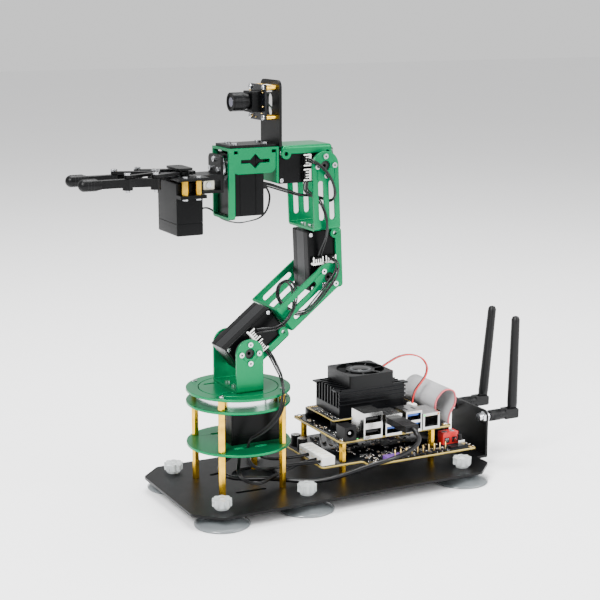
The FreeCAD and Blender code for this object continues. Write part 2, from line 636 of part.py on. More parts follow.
def boards():
    hat_top, thick, top = dim("hat_top"), dim("board_thick"), dim("board_top")
    hat = box(("hat_right - hat_left", "hat_back - hat_front", "board_thick"),
              (dim("hat_left"), dim("hat_front"), hat_top - thick))
    notch = box((36, 12, 4), (dim("hat_left") - 1, dim("hat_front") - 1, hat_top - 3))
    part("expansion_board", rounded(cut(hat, [notch]), 3, lambda m, run: abs(run.z) > 0.9))
    posts = []
    for x, y in BOARD_POSTS:
        posts.append(hexagon("post_radius", hat_top - thick - dim("plate_top"), (x, y, dim("plate_top"))))
        posts.append(hexagon("post_radius", top - thick - hat_top, (x, y, hat_top)))
    carrier = box(("board_long", "board_wide", "board_thick"), (dim("board_left"), dim("board_front"), top - thick))
    carrier = rounded(carrier, 2.5, lambda m, run: abs(run.z) > 0.9)
    module = box((69.6, 45, 1.2), (82.8, 3.5, 46.4))
    socket = box((69.6, 7, 6.6), (82.8, 44, top))
    legs = [box((6, 6, 6.6), (x, 5, top)) for x in (84, 145.6)]
    part("computer_boards", group([carrier, module, socket] + legs))

    sockets = [box((11, 5.6, 6.5), (58, -24.5 + 6.4 * row, hat_top)) for row in range(6)]
    coil = rounded(box((12, 12, 7), (140, 30, hat_top)), 2, lambda m, run: abs(run.z) > 0.9)
    chips = [box((9, 9, 1.2), (100, 10, hat_top)), box((7, 5, 1.5), (168, -34, hat_top)),
             box((14, 6, 3), (108, -36, hat_top)), rod(4, 9, (64, 20, hat_top)), rod(4, 9, (64, 31, hat_top)), coil]
    terminal = box((14, 8, 9.5), (168, -22, hat_top))
    switch = cut(box((6, 6, 4.6), (177, -30, hat_top)), [rod(1.95, 3, (180, -27, hat_top + 2.2))])
    part("expansion_parts", group(sockets + chips + [terminal, switch]))
    part("button_cap", rod(1.75, 5.6, (180, -27, hat_top + 2.9)))
    return posts


def ports():
    """Sockets along the front edge of the carrier board, each open to the front."""
    top = dim("board_top")
    dc_jack = cut(box((10, 13.5, 11), (76, -27, top)), [rod(3.2, 9, (81, -28, top + 6), "Y")])
    video = cut(box((16.5, 19, 20.6), (91.5, -29, top)),
                [box((14, 11, 5.2), (92.7, -30, top + 2.6)), box((14, 11, 5.2), (92.7, -30, top + 12.6))])
    shells = [dc_jack, video]
    for left in (110.8, 129):
        cavities = [box((12.4, 13, 5.4), (left + 1, -30, top + low)) for low in (2, 9.6)]
        shells.append(cut(box((14.4, 18, 16.8), (left, -29, top)), cavities))
    shells.append(cut(box((15.5, 21, 13), (145, -28, top)), [box((12, 15, 8.6), (146.7, -29, top + 2.2))]))
    part("board_ports", group(shells))
    ribbon_header = box((9, 52, 8.5), (161.5, -13, top))
    ribbon_socket = box((6, 52, 7), (176, -13, dim("hat_top")))
    fan_plug = box((5, 8, 6), (152.6, 1, top + 6))
    fan_header = box((5, 10, 6), (152.6, 0, top))
    usb_plug = box((12, 33, 5.2), (112, -56, top + 9.7))
    usb_plug = rounded(usb_plug, 1.5, lambda m, run: m.y < -45)
    part("cable_plugs", group([ribbon_header, ribbon_socket, fan_header, fan_plug, usb_plug]))


def heatsink_and_fan():
    left, front, high = dim("sink_left"), dim("sink_front"), dim("sink_top")
    slab = box(("sink_long", "sink_wide", 7), (left, front, 48.4))
    foot = box((20, 20, 0.8), (left + 19.5, front + 9.5, 47.6))
    fins = []
    count = 9
    pitch = (dim("sink_wide") - 1.4) / (count - 1)
    for number in range(count):
        fins.append(box(("sink_long", 1.4, high - 55.4), (left, front + number * pitch, 55.4)))
    deck = box((40, 39, 1.2), (left + 9.5, front, high - 1.2))
    part("heatsink", fuse([slab, foot, deck] + fins))

    side, tall = dim("fan_side"), dim("fan_tall")
    middle_x, middle_y = left + dim("sink_long") / 2, front + dim("sink_wide") / 2
    frame = box(("fan_side", "fan_side", "fan_tall"), (middle_x - side / 2, middle_y - side / 2, high))
    frame = rounded(frame, 3, lambda m, run: abs(run.z) > 0.9)
    holes = [rod("fan_bore", tall + 2, (middle_x, middle_y, high - 1))]
    holes += [rod(1.6, tall + 2, (middle_x + dx, middle_y + dy, high - 1)) for dx in (-16, 16) for dy in (-16, 16)]
    frame = cut(frame, holes)
    motor = rod(7, 1.6, (middle_x, middle_y, high))
    struts = []
    for angle in (45, 165, 285):
        strut = box((dim("fan_bore") + 0.5, 2, 1.4), (0, 0, 0))
        turn = Rotation(Vector(0, 0, 1), angle)
        strut.Placement = Placement(Vector(middle_x, middle_y, high) + turn.multVec(Vector(0, -1, 0)), turn)
        struts.append(strut)
    part("fan_frame", fuse([frame, motor] + struts))
    blades = [rod("hub_radius", tall - 2.4, (middle_x, middle_y, high + 2))]
    for number in range(7):
        blade = box((8, 0.9, tall - 3.6), (0, 0, 0))
        turn = Rotation(Vector(0, 0, 1), 360 / 7 * number).multiply(Rotation(Vector(1, 0, 0), 38))
        blade.Placement = Placement(Vector(middle_x, middle_y, high + 2.5) + turn.multVec(Vector(9.8, 2.4, 0.4)), turn)
        blades.append(blade)
    rotor = fuse(blades)
    rotor.Refine = False
    part("fan_rotor", rotor)


def antennas():
    wall, level = dim("mast_wall"), dim("mast_height")
    under = dim("plate_top") - dim("plate_thick")
    blank = box((2, 50, 46 - under + 2), (wall, -25, under - 2))
    doc.recompute()
    top_corners = []
    for number, edge in enumerate(blank.Shape.Edges, 1):
        middle = (edge.Vertexes[0].Point + edge.Vertexes[1].Point) * 0.5
        if abs(edge.tangentAt(edge.FirstParameter).x) > 0.9 and middle.z > 40:
            top_corners.append((number, 3.5, 3.5))
    trimmed = doc.addObject("Part::Chamfer", "trimmed")
    trimmed.Base = blank
    trimmed.Edges = top_corners
    foot = box((wall + 2 - 176, 50, 2), (176, -25, under - 2))
    foot = rounded(foot, 4, lambda m, run: abs(run.z) > 0.9 and m.x < 180)
    sides = (-dim("mast_side"), dim("mast_side"))
    holes = [rod(3.3, 4, (wall - 1, y, level), "X") for y in sides]
    holes += [rod(1.5, 4, (x, y, under - 3)) for x, y in MAST_SCREWS]
    part("antenna_bracket", cut(fuse([trimmed, foot]), holes))
    jacks = [fuse([rod(2, 1.2, (x, y, under - 3.2)), rod(1.4, 4.4, (x, y, under - 2))])
             for x, y in MAST_SCREWS]
    for y in sides:
        jacks.append(fuse([hexagon_x(4.6, 2.2, (wall - 2.2, y, level)), rod(3.2, 9.5, (wall - 5, y, level), "X"),
                           rod(4.2, 1.2, (wall + 2, y, level), "X")]))
    pivot, long = dim("mast_pivot"), dim("mast_long")
    elbows = []
    for name, y, lean in (("near_antenna", sides[0], 0.7), ("far_antenna", sides[1], 5.5)):
        collar = rod(4.4, pivot - 6.5 - wall - 4.9, (wall + 4.9, y, level), "X")
        fork = cut(box((12.5, 8.4, 8), (pivot - 8.5, y - 4.2, level - 4)), [box((9.3, 4.4, 10), (pivot - 5.3, y - 2.2, level - 5))])
        pin = rod(1.5, 8.4, (pivot, y - 4.2, level), "Y")
        nose = rounded(fork, 1.5, lambda m, run: abs(run.y) > 0.9 and m.x > pivot)
        elbows.append(fuse([collar, nose, pin]))
        blade = fuse([lathe_blade(name, long), rod(3.7, 3.8, (0, -1.9, 0), "Y"), box((7, 3.8, 8), (-3.5, -1.9, 0))])
        blade = cut(blade, [rod(1.58, 10, (0, -5, 0), "Y")])
        part(name, blade, Placement(Vector(pivot, y, level), Rotation(Vector(0, 1, 0), lean)))
    part("antenna_elbows", group(elbows))
    return jacks


def lathe_blade(name, long):
    """The antenna's tapered rod, from 5 mm above its pivot to its round end."""
    return lathe(name + "_rod", [(0, 5.2), (3.9, 5.2), (4.1, 8), (3.4, long - 3), (2.4, long - 0.8), (0, long)])


def hexagon_x(radius, length, start):
    nut = hexagon(radius, length, (0, 0, 0))
    nut.Placement = Placement(Vector(*start), TURN["X"])
    return nut


# ---------------------------------------------------------------- leads
def lead_path(points):
    """Straight runs joined by tangent arcs, each as large as its two runs allow; returns wire and radii."""
    edges, radii = [], []
    start = points[0]
    for before, corner, after in zip(points, points[1:], points[2:]):
        into, out = corner - before, after - corner
        short = min(into.Length, out.Length)
        half_turn = into.getAngle(out) / 2
        reach = 0.45 * short
        radii.append(reach / math.tan(half_turn))
        into.normalize()
        out.normalize()
        first, last = corner - into * reach, corner + out * reach
        inward = (out - into).normalize()
        middle = corner + inward * (radii[-1] / math.cos(half_turn) - radii[-1])
        edges.append(Part.LineSegment(start, first).toShape())
        edges.append(Part.Arc(first, middle, last).toShape())
        start = last
    edges.append(Part.LineSegment(start, points[-1]).toShape())
    return Part.Wire(edges), radii


def lead(name, points, radius):
    """A round lead along its route; its arc radii and volume are printed as a check."""
    points = [Vector(*p) for p in points]
    wire, radii = lead_path(points)
    section = Part.Face(Part.Wire(Part.makeCircle(radius, points[0], points[1] - points[0])))
    obj = doc.addObject("Part::Feature", "lead")
    obj.Shape = wire.makePipe(section)
    ratio = obj.Shape.Volume / (math.pi * radius ** 2 * wire.Length)
    print(f"{name}: length {wire.Length:.0f}, smallest arc {min(radii):.1f}, volume ratio {ratio:.3f}")
    return obj


LEAD_RADIUS = 1.3
RIBBON_ROUTE = [(166, 48.4), (166.6, 57), (174.5, 65), (184, 63.5), (186, 53), (179, 43), (179, 29.7)]
USB_ROUTE = [(118, -56.1, 52.1), (118.3, -62, 51.6), (119.8, -64.5, 44.5), (115, -59, 36.5), (107, -51.5, 30),
             (96, -46.5, 26.3), (82, -44.5, 23.5), (66, -41.5, 19), (51, -35.5, 15.3), (37, -25.5, 14.6),
             (25, -17, 15.5), (11, -17, 18), (-3, -18.5, 20.5), (-14.5, -16.5, 22.5), (-19, -6, 24.5),
             (-13, 3.5, 28), (-2, 3.5, 33), (0.5, 0, 43.7)]
FAN_ROUTE = [(139.2, 27.5, 78), (146, 28.2, 81), (155, 26, 86), (163, 22, 87.6), (170.5, 17, 85.6),
             (174, 12.5, 79), (170.5, 9, 72), (163.5, 7, 66.5), (156.5, 5.6, 60), (155.1, 5, 51.95)]
BASE_ROUTES = [
    [(-2.8, -20.8, 43.6), (-2.8, -21.2, 37), (2, -22, 30), (12, -20.5, 26), (24, -17, 24.6), (38, -17.5, 25.2),
     (49, -21.4, 25.8), (57.8, -21.7, 25.8)],
    [(14, 5, 43.7), (14.4, 6, 34), (22, 8, 26), (34, 5, 23), (46, -2, 25.2), (57.8, -2.5, 25.8)],
    [(-3, -7, 43.7), (-4, -10, 34), (-10, -19, 25), (-4, -26, 19.5), (7, -26, 18), (18, -20, 18.8),
     (31, -14.5, 20), (45, -15, 24.8), (57.8, -15.3, 25.8)],
]
YAW_ROUTE = [(19.2, -37, 86.85), (18.4, -37.3, 79.5), (15.5, -36.5, 71.5), (10, -32, 62.5), (4, -27, 56),
             (-1.8, -22, 51.5), (-2.8, -20.8, 43.75)]
SHOULDER_ROUTE = [(15.25, -16.3, 116.9), (18, -18.8, 112.6), (20, -22.8, 106), (21.5, -28, 99.5), (20.2, -34.5, 94.5),
                  (19.2, -37, 87.15)]
ELBOW_ROUTE = [(8.3, -14.9, 130.6), (13, -16.6, 131.6), (18.5, -20.8, 132.4), (23.5, -24.2, 135), (29, -24.8, 139.8),
               (34, -24, 146), (37.5, -19.5, 151), (41.5, -12, 155), (44.5, -3, 160), (43, 6, 162.5), (37.5, 8.5, 158),
               (34.2, 3, 150.5), (35, -6, 145.3), (37, -13.5, 142.8), (39.8, -20, 141.9), (44, -25, 143.8),
               (50, -25.5, 149.3), (57, -25.5, 156.3), (63.3, -25.3, 163), (68.6, -25.2, 169.5), (71, -24.2, 176.5),
               (69.9, -21.5, 179.9), (69.6, -16.95, 180.1)]
WRIST_ROUTE = [(60, -15.2, 182.2), (60.6, -17.5, 188), (61.8, -21.5, 196), (62, -24.6, 205), (60.8, -24.8, 213),
               (59, -22.8, 219.5), (58.3, -19, 223.8), (55.5, -14.8, 227.5), (50.5, -13.5, 230.5), (48.2, -14.8, 234.5),
               (49.2, -15.3, 239.4)]
ROLL_ROUTE = [(20.2, -1.5, 236.9), (25.5, -1.8, 236), (32, -4.5, 233.5), (39, -8, 231), (46, -10, 228.3),
              (53, -10.5, 227.5), (60, -11.5, 226.3), (65, -14.5, 224.6), (67.1, -19.5, 223.6), (68, -24.6, 227),
              (67.4, -25, 234), (64.8, -24.8, 241), (59.5, -24.8, 247.5), (53.8, -24.7, 252), (49.8, -22.5, 254.2),
              (49.2, -16.8, 254.3)]
CAMERA_ROUTE = [(22, -4, 303.5), (22.2, -3.4, 298), (26, 0, 294), (31.5, 4, 291), (34.3, 9, 283), (34.6, 15, 273.5),
                (33.8, 18.6, 264), (31, 18.2, 256.5), (26.3, 16.5, 254)]
GRIPPER_ROUTE = [(-32.6, 6, 219), (-26.5, 7.5, 219.6), (-18, 15, 220.3), (-11, 18.2, 217.5), (-6, 16, 211.5),
                 (-4, 8, 210.3), (-4, -3, 210.6), (-2, -11, 211.2), (5, -13, 212.5), (13, -11, 213.4),
                 (19.5, -8.5, 217), (23, -7, 223), (24, -6.3, 231), (20.15, -6, 236.3)]


def ribbon():
    """The flat cable's arch between its header and its socket, a band one millimetre thick."""
    path, radii = lead_path([Vector(x, -12.5, z) for x, z in RIBBON_ROUTE])
    x, z = RIBBON_ROUTE[0]
    corners = [Vector(x + dx, y, z) for dx, y in ((-0.5, -12.5), (0.5, -12.5), (0.5, 38.5), (-0.5, 38.5))]
    section = Part.Face(Part.makePolygon(corners + corners[:1]))
    band = doc.addObject("Part::Feature", "band")
    band.Shape = path.makePipe(section)
    print(f"ribbon: length {path.Length:.0f}, smallest arc {min(radii):.1f}")
    part("ribbon_cable", band)


def leads():
    part("usb_cable", lead("usb", USB_ROUTE, 1.7))
    fan_wires = [[(x, y + dy, z) for x, y, z in FAN_ROUTE] for dy in (-0.75, 0.75)]
    part("fan_cable", group([lead("fan", route, 0.6) for route in fan_wires]))
    part("base_leads", group([lead("base", route, 1.5) for route in BASE_ROUTES]))
    part("yaw_lead", lead("yaw", YAW_ROUTE, LEAD_RADIUS))
    part("shoulder_lead", lead("shoulder", SHOULDER_ROUTE, LEAD_RADIUS))
    part("elbow_lead", lead("elbow", ELBOW_ROUTE, LEAD_RADIUS))
    part("wrist_lead", lead("wrist", WRIST_ROUTE, LEAD_RADIUS))
    part("roll_lead", lead("roll", ROLL_ROUTE, LEAD_RADIUS))
    plugs = [box((3.5, 11.5, 4.6), (16.5, -9.5, 234.4)), box((9, 4, 5), (17, 14.5, 251.5))]
    part("camera_lead", group([lead("camera", CAMERA_ROUTE, 0.9)] + plugs))
    part("gripper_lead", lead("gripper", GRIPPER_ROUTE, 0.7))


# ---------------------------------------------------------------- assembly
base_plate()
feet()
standoffs, inner_race = turntable()
standoffs += boards()
part("brass_standoffs", group(standoffs))
servo_case("yaw_servo", Placement(Vector(0, 0, 77.0 - dim("yaw_servo_depth") / 2), Rotation(Vector(1, 0, 0), 90)),
           "yaw_servo_depth")
shoulder_bracket()
upright = Placement(SHOULDER, Rotation(Vector(0, 1, 0), -90))
on_rotor = Placement(Vector(0, 0, dim("turntable_top")), Rotation(Vector(0, 1, 0), -90))
turntable_hardware = [inner_race, yaw_hardware()]
turntable_hardware += [seated(p, upright) for p in horn_pair() + ear_screws(0, 0)]
turntable_hardware += [seated(p, on_rotor) for p in end_screws(dim("sheet"))]
part("turntable_hardware", group(turntable_hardware))

servo_case("shoulder_servo", UPPER_ARM, socket_places=SOCKETS)
cradle("shoulder_cradle", UPPER_ARM, -10.5, 35)
link_frame_part("upper_arm_frame", UPPER_ARM, 7)
elbow_seat = Placement(ELBOW, UPPER_ARM.Rotation)
elbow_set = [seated(p, elbow_seat) for p in horn_pair() + ear_screws(0, 7)]
elbow_set += [seated(p, UPPER_ARM) for p in end_screws(dim("frame_start") + dim("sheet"))]
part("elbow_hardware", group(elbow_set))

servo_case("elbow_servo", FOREARM, socket_places=SOCKETS)
cradle("elbow_cradle", FOREARM, -10.5, 35)
link_frame_part("forearm_frame", FOREARM, 0)
wrist_seat = Placement(WRIST, FOREARM.Rotation)
wrist_set = [seated(p, wrist_seat) for p in horn_pair() + ear_screws(0, 0)]
wrist_set += [seated(p, FOREARM) for p in end_screws(dim("frame_start") + dim("sheet"))]
part("wrist_hardware", group(wrist_set))

servo_case("wrist_servo", HAND, socket_places=SOCKETS)
cradle("wrist_cradle", Placement(WRIST, Rotation(Vector(0, 1, 0), -180)), -9.4, 32.2)
roll_seat = Placement(Vector(-9.5 + dim("servo_depth") / 2, 0, dim("roll_axis")),
                      Rotation(Vector(0, 1, 0), 90).multiply(Rotation(Vector(1, 0, 0), 90)))
servo_case("roll_servo", roll_seat)
roll_frame()
camera()
gripper_side("near", -1)
gripper_side("far", 1)
hand()
ports()
heatsink_and_fan()
ribbon()
leads()
base_hardware = base_screws() + antennas()
part("base_hardware", group(base_hardware))

doc.recompute()
faults = [f"{o.Label} {o.State}" for o in doc.Objects if "Invalid" in o.State or "Error" in o.State]
for name, obj in PARTS.items():
    if obj.Shape.isNull() or not obj.Shape.isValid() or not obj.Shape.Solids:
        faults.append(name)
if faults:
    raise SystemExit(f"failed objects: {faults}")
os.makedirs("parts", exist_ok=True)
for name, obj in PARTS.items():
    obj.Shape.exportStep(f"parts/{name}.step")
    print(name, len(obj.Shape.Solids), round(obj.Shape.Volume))
print(len(PARTS), "parts")
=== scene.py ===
import bpy
import bmesh
import math
import random
from mathutils import Euler, Matrix, Vector


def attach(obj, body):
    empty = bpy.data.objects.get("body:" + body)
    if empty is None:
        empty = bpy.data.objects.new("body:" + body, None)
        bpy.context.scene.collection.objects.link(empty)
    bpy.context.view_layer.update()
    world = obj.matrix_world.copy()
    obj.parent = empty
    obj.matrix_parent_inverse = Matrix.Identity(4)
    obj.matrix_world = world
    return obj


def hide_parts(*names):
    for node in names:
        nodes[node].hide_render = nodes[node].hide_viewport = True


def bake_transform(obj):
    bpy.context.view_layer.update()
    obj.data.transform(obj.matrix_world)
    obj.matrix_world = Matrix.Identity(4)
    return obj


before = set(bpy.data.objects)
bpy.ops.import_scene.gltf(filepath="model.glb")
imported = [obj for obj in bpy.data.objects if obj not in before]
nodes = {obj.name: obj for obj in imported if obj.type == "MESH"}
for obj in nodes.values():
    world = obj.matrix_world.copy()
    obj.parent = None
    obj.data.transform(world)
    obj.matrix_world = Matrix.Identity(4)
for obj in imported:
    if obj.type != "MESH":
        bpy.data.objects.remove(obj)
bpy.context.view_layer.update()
MM = 0.001  # routes and made pieces are in millimetres, everything else in metres
rng = random.Random(11)
GRAIN_DEPTH = 0.0002
GLOW = 1.5

# ------------------------------------------------------------------ materials


def shader(name, colour, rough=0.5, metal=0.0, **more):
    """A node material: noise moves its colour and roughness a little, and a fine bump breaks the shine."""
    mat = bpy.data.materials.new(name)
    mat.use_nodes = True
    tree = mat.node_tree
    out = tree.nodes["Principled BSDF"]
    place = tree.nodes.new("ShaderNodeTexCoord")
    noise = tree.nodes.new("ShaderNodeTexNoise")
    noise.inputs["Scale"].default_value = more.get("scale", 90.0)
    noise.inputs["Detail"].default_value = 4.0
    tree.links.new(place.outputs["Object"], noise.inputs["Vector"])
    ramp = tree.nodes.new("ShaderNodeValToRGB")
    spread = more.get("spread", 0.14)
    ramp.color_ramp.elements[0].position = 0.3
    ramp.color_ramp.elements[1].position = 0.7
    ramp.color_ramp.elements[0].color = (*[c * (1 - spread) for c in colour], 1)
    ramp.color_ramp.elements[1].color = (*[min(1, c * (1 + spread)) for c in colour], 1)
    tree.links.new(noise.outputs["Fac"], ramp.inputs["Fac"])
    tree.links.new(ramp.outputs["Color"], out.inputs["Base Color"])
    rise = tree.nodes.new("ShaderNodeMapRange")
    rise.inputs["To Min"].default_value = max(0.02, rough - 0.06)
    rise.inputs["To Max"].default_value = min(1.0, rough + 0.06)
    tree.links.new(noise.outputs["Fac"], rise.inputs["Value"])
    tree.links.new(rise.outputs["Result"], out.inputs["Roughness"])
    grain = tree.nodes.new("ShaderNodeTexNoise")
    grain.inputs["Scale"].default_value = more.get("grain", 2600.0)
    grain.inputs["Detail"].default_value = 2.0
    tree.links.new(place.outputs["Object"], grain.inputs["Vector"])
    bump = tree.nodes.new("ShaderNodeBump")
    bump.inputs["Strength"].default_value = more.get("bump", 0.08)
    bump.inputs["Distance"].default_value = GRAIN_DEPTH
    tree.links.new(grain.outputs["Fac"], bump.inputs["Height"])
    tree.links.new(bump.outputs["Normal"], out.inputs["Normal"])
    out.inputs["Metallic"].default_value = metal
    out.inputs["Transmission Weight"].default_value = more.get("clear", 0.0)
    out.inputs["Coat Weight"].default_value = more.get("coat", 0.0)
    out.inputs["Coat Roughness"].default_value = 0.12
    out.inputs["IOR"].default_value = more.get("ior", 1.45)
    out.inputs["Specular IOR Level"].default_value = more.get("specular", 0.5)
    if "glow" in more:
        out.inputs["Emission Color"].default_value = (*more["glow"], 1)
        out.inputs["Emission Strength"].default_value = GLOW
    return mat


GREEN = shader("green_anodised", (0.0, 0.165, 0.060), 0.30, 0.6, spread=0.07, bump=0.05, scale=30,
               specular=0.15)
BLACK = shader("black_powder_coat", (0.0016, 0.0017, 0.0019), 0.36, 0.0, bump=0.22, grain=3800,
               specular=0.16)
SERVO = shader("servo_case", (0.0012, 0.0013, 0.0015), 0.30, 0.0, bump=0.12, specular=0.12)
SERVO_TOP = shader("servo_case_top", (0.0045, 0.0048, 0.0055), 0.32, 0.0, bump=0.12, specular=0.25)
STEEL = shader("zinc_steel", (0.60, 0.61, 0.63), 0.20, 1.0, spread=0.1, grain=900)
NICKEL = shader("nickel_shell", (0.46, 0.46, 0.45), 0.18, 1.0, spread=0.14, grain=1500)
BRASS = shader("brass", (0.72, 0.42, 0.03), 0.2, 1.0, spread=0.24, scale=160)
GOLD = shader("gold_pad", (0.83, 0.56, 0.17), 0.3, 1.0)
SINK = shader("black_anodised", (0.0045, 0.0048, 0.0055), 0.30, 0.2, bump=0.1, specular=0.18)
FAN = shader("fan_plastic", (0.003, 0.0032, 0.0036), 0.38, 0.0, bump=0.2, specular=0.2)
GREY = shader("fan_label", (0.055, 0.058, 0.062), 0.36, 0.0)
CUP = shader("smoky_cup", (0.25, 0.275, 0.285), 0.12, 0.0, clear=0.5, ior=1.42, spread=0.05,
             scale=40)
KNOB = shader("milky_knob", (0.86, 0.90, 0.90), 0.14, 0.0, clear=0.62, ior=1.42, spread=0.04)
MASK = shader("solder_mask", (0.0025, 0.003, 0.004), 0.24, 0.0, coat=0.12, bump=0.05, specular=0.3)
EDGE = shader("board_edge", (0.42, 0.31, 0.075), 0.5, 0.0)
CHIP = shader("chip_epoxy", (0.0025, 0.0025, 0.0028), 0.4, 0.0, specular=0.2)
WHITE = shader("white_nylon", (0.80, 0.80, 0.77), 0.38, 0.0, spread=0.05)
CREAM = shader("cream_nylon", (0.72, 0.69, 0.58), 0.4, 0.0, spread=0.06)
BLUE = shader("usb_tongue", (0.015, 0.09, 0.42), 0.36, 0.0)
PURPLE = shader("violet_coil", (0.16, 0.06, 0.34), 0.36, 0.0)
RED = shader("red_insulation", (0.52, 0.012, 0.012), 0.4, 0.0)
ORANGE = shader("orange_insulation", (0.60, 0.16, 0.01), 0.4, 0.0)
CABLE = shader("black_insulation", (0.0025, 0.0025, 0.003), 0.32, 0.0, coat=0.1, specular=0.3)
RUBBER = shader("antenna_rubber", (0.003, 0.003, 0.0034), 0.42, 0.0, bump=0.16, specular=0.25)
# near black used as painted shade in screw crosses and slots, board holes, port openings and between the ears,
# and as the black of the display tongues
SHADE_AND_BLACK = shader("painted_shade_and_black", (0.004, 0.004, 0.0045), 0.6, 0.0)
CAN = shader("capacitor_sleeve", (0.012, 0.013, 0.018), 0.35, 0.0, coat=0.3)
CERAMIC = shader("ceramic_part", (0.16, 0.115, 0.07), 0.45, 0.0)
GLASS = shader("lens_glass", (0.020, 0.020, 0.045), 0.04, 0.0, coat=1.0, bump=0.0, specular=0.9)
LAMP = shader("lamp", (0.02, 0.6, 0.1), 0.3, 0.0, glow=(0.02, 0.9, 0.15))


WIRE_PITCH = 0.001275
PINK_WIRE_END = -0.0112
RIDGE_DEPTH = 0.0003
GROOVE_SHADE = 0.45
GREY_INSULATION = (0.50, 0.50, 0.51)
PINK_INSULATION = (0.62, 0.10, 0.12)


def ribbon_material():
    """Grey insulation in ridges, one for each of the cable's wires, and one wire in pink; the colour is darkened
    in the grooves between the wires as painted shade.
    """
    mat = shader("ribbon_grey", GREY_INSULATION, 0.42)
    tree = mat.node_tree
    out = tree.nodes["Principled BSDF"]
    place = tree.nodes.new("ShaderNodeTexCoord")
    split = tree.nodes.new("ShaderNodeSeparateXYZ")
    tree.links.new(place.outputs["Object"], split.inputs["Vector"])
    wave = tree.nodes.new("ShaderNodeMath")
    wave.operation = "MULTIPLY"
    wave.inputs[1].default_value = 2 * math.pi / WIRE_PITCH
    tree.links.new(split.outputs["Y"], wave.inputs[0])
    crest = tree.nodes.new("ShaderNodeMath")
    crest.operation = "SINE"
    tree.links.new(wave.outputs["Value"], crest.inputs[0])
    ridges = tree.nodes.new("ShaderNodeBump")
    ridges.inputs["Strength"].default_value = 0.9
    ridges.inputs["Distance"].default_value = RIDGE_DEPTH
    tree.links.new(crest.outputs["Value"], ridges.inputs["Height"])
    tree.links.new(ridges.outputs["Normal"], out.inputs["Normal"])
    first = tree.nodes.new("ShaderNodeMath")
    first.operation = "LESS_THAN"
    first.inputs[1].default_value = PINK_WIRE_END
    tree.links.new(split.outputs["Y"], first.inputs[0])
    # painted shade: the colour falls to GROOVE_SHADE of itself in the grooves between the wires
    grooves = tree.nodes.new("ShaderNodeMapRange")
    grooves.inputs["From Min"].default_value = -1.0
    grooves.inputs["To Min"].default_value = GROOVE_SHADE
    tree.links.new(crest.outputs["Value"], grooves.inputs["Value"])
    mix = tree.nodes.new("ShaderNodeMix")
    mix.data_type = "RGBA"
    mix.inputs["A"].default_value = (*GREY_INSULATION, 1)
    mix.inputs["B"].default_value = (*PINK_INSULATION, 1)
    tree.links.new(first.outputs["Value"], mix.inputs["Factor"])
    shade = tree.nodes.new("ShaderNodeVectorMath")
    shade.operation = "SCALE"
    tree.links.new(mix.outputs["Result"], shade.inputs["Vector"])
    tree.links.new(grooves.outputs["Result"], shade.inputs["Scale"])
    tree.links.new(shade.outputs["Vector"], out.inputs["Base Color"])
    return mat


RIBBON = ribbon_material()

# ------------------------------------------------------------------ CAD nodes


WELD_GAP = 2e-6
DRESS_EDGE = math.radians(33)
MADE_EDGE = math.radians(35)


def dress(name, *mats, width=0.00028, rule=None, segments=2):
    """Give a CAD node its materials, a small rounding on sharp edges and soft shading on curves.

    A rule takes a face's centre and normal and gives the index of its material.
    """
    obj = nodes[name]
    mesh = obj.data
    if "custom_normal" in mesh.attributes:
        mesh.attributes.remove(mesh.attributes["custom_normal"])
    mesh.materials.clear()
    for mat in mats:
        mesh.materials.append(mat)
    for face in mesh.polygons:
        face.use_smooth = True
        face.material_index = rule(face.center, face.normal) if rule else 0
    weld = obj.modifiers.new("weld", "WELD")
    weld.merge_threshold = WELD_GAP
    if width:
        bevel = obj.modifiers.new("edges", "BEVEL")
        bevel.width = width
        bevel.segments = segments
        bevel.limit_method = "ANGLE"
        bevel.angle_limit = DRESS_EDGE
        bevel.harden_normals = True
        bevel.use_clamp_overlap = True


def turned(pivot, angle):
    """World matrix of a frame whose X leans by angle from the world's X towards Z about the Y axis."""
    return Matrix.Translation(pivot) @ Matrix.Rotation(-math.radians(angle), 4, "Y")


LINK = 0.08285
SHOULDER = Vector((0, 0, 0.11617))
UPPER_ANGLE = 38.0
FORE_ANGLE = 92.45
HAND_ANGLE = 180.0
UPRIGHT_ANGLE = 90


def reach(start, angle):
    """The far pivot of a link that leans by angle from its near pivot, start."""
    return start + Vector((math.cos(math.radians(angle)), 0, math.sin(math.radians(angle)))) * LINK


ELBOW = reach(SHOULDER, UPPER_ANGLE)
WRIST = reach(ELBOW, FORE_ANGLE)
UPPER = turned(SHOULDER, UPPER_ANGLE)
FORE = turned(ELBOW, FORE_ANGLE)
HAND = turned(WRIST, HAND_ANGLE)
HALF_DEEP = 0.013
PROUD = 0.0001
FRONT_SHELL = 0.5
BACK_SHELL = 0.46


def servo_rule(placement):
    """Sockets proud of the case are dark; its middle shell is a little lighter than the outer two."""
    back = placement.inverted()

    def rule(centre, normal):
        local = back @ centre
        if local.y < -HALF_DEEP - PROUD:
            return 1
        if local.y < -HALF_DEEP * FRONT_SHELL or local.y > HALF_DEEP * BACK_SHELL:
            return 0
        return 2

    return rule


for node, seat in (("shoulder_servo", UPPER), ("elbow_servo", FORE), ("wrist_servo", HAND)):
    dress(node, SERVO, CHIP, SERVO_TOP, rule=servo_rule(seat), width=0.0002)
for node in ("yaw_servo", "roll_servo", "grip_servo"):
    dress(node, SERVO, width=0.0002)
for node in ("fixed_discs", "rotor_disc", "shoulder_bracket", "shoulder_cradle", "elbow_cradle",
             "wrist_cradle", "upper_arm_frame", "forearm_frame", "roll_frame"):
    dress(node, GREEN, width=0.0003)
dress("base_plate", BLACK, width=0.0004)
dress("antenna_bracket", BLACK)
dress("suction_cups", CUP, width=0.0)
dress("cup_knobs", KNOB, width=0.0006, segments=3)
dress("brass_standoffs", BRASS, width=0.0002)
dress("ball_bearing", STEEL, width=0.00015)


HORN_REACH = 0.0097
EAR_FACE = 0.01945


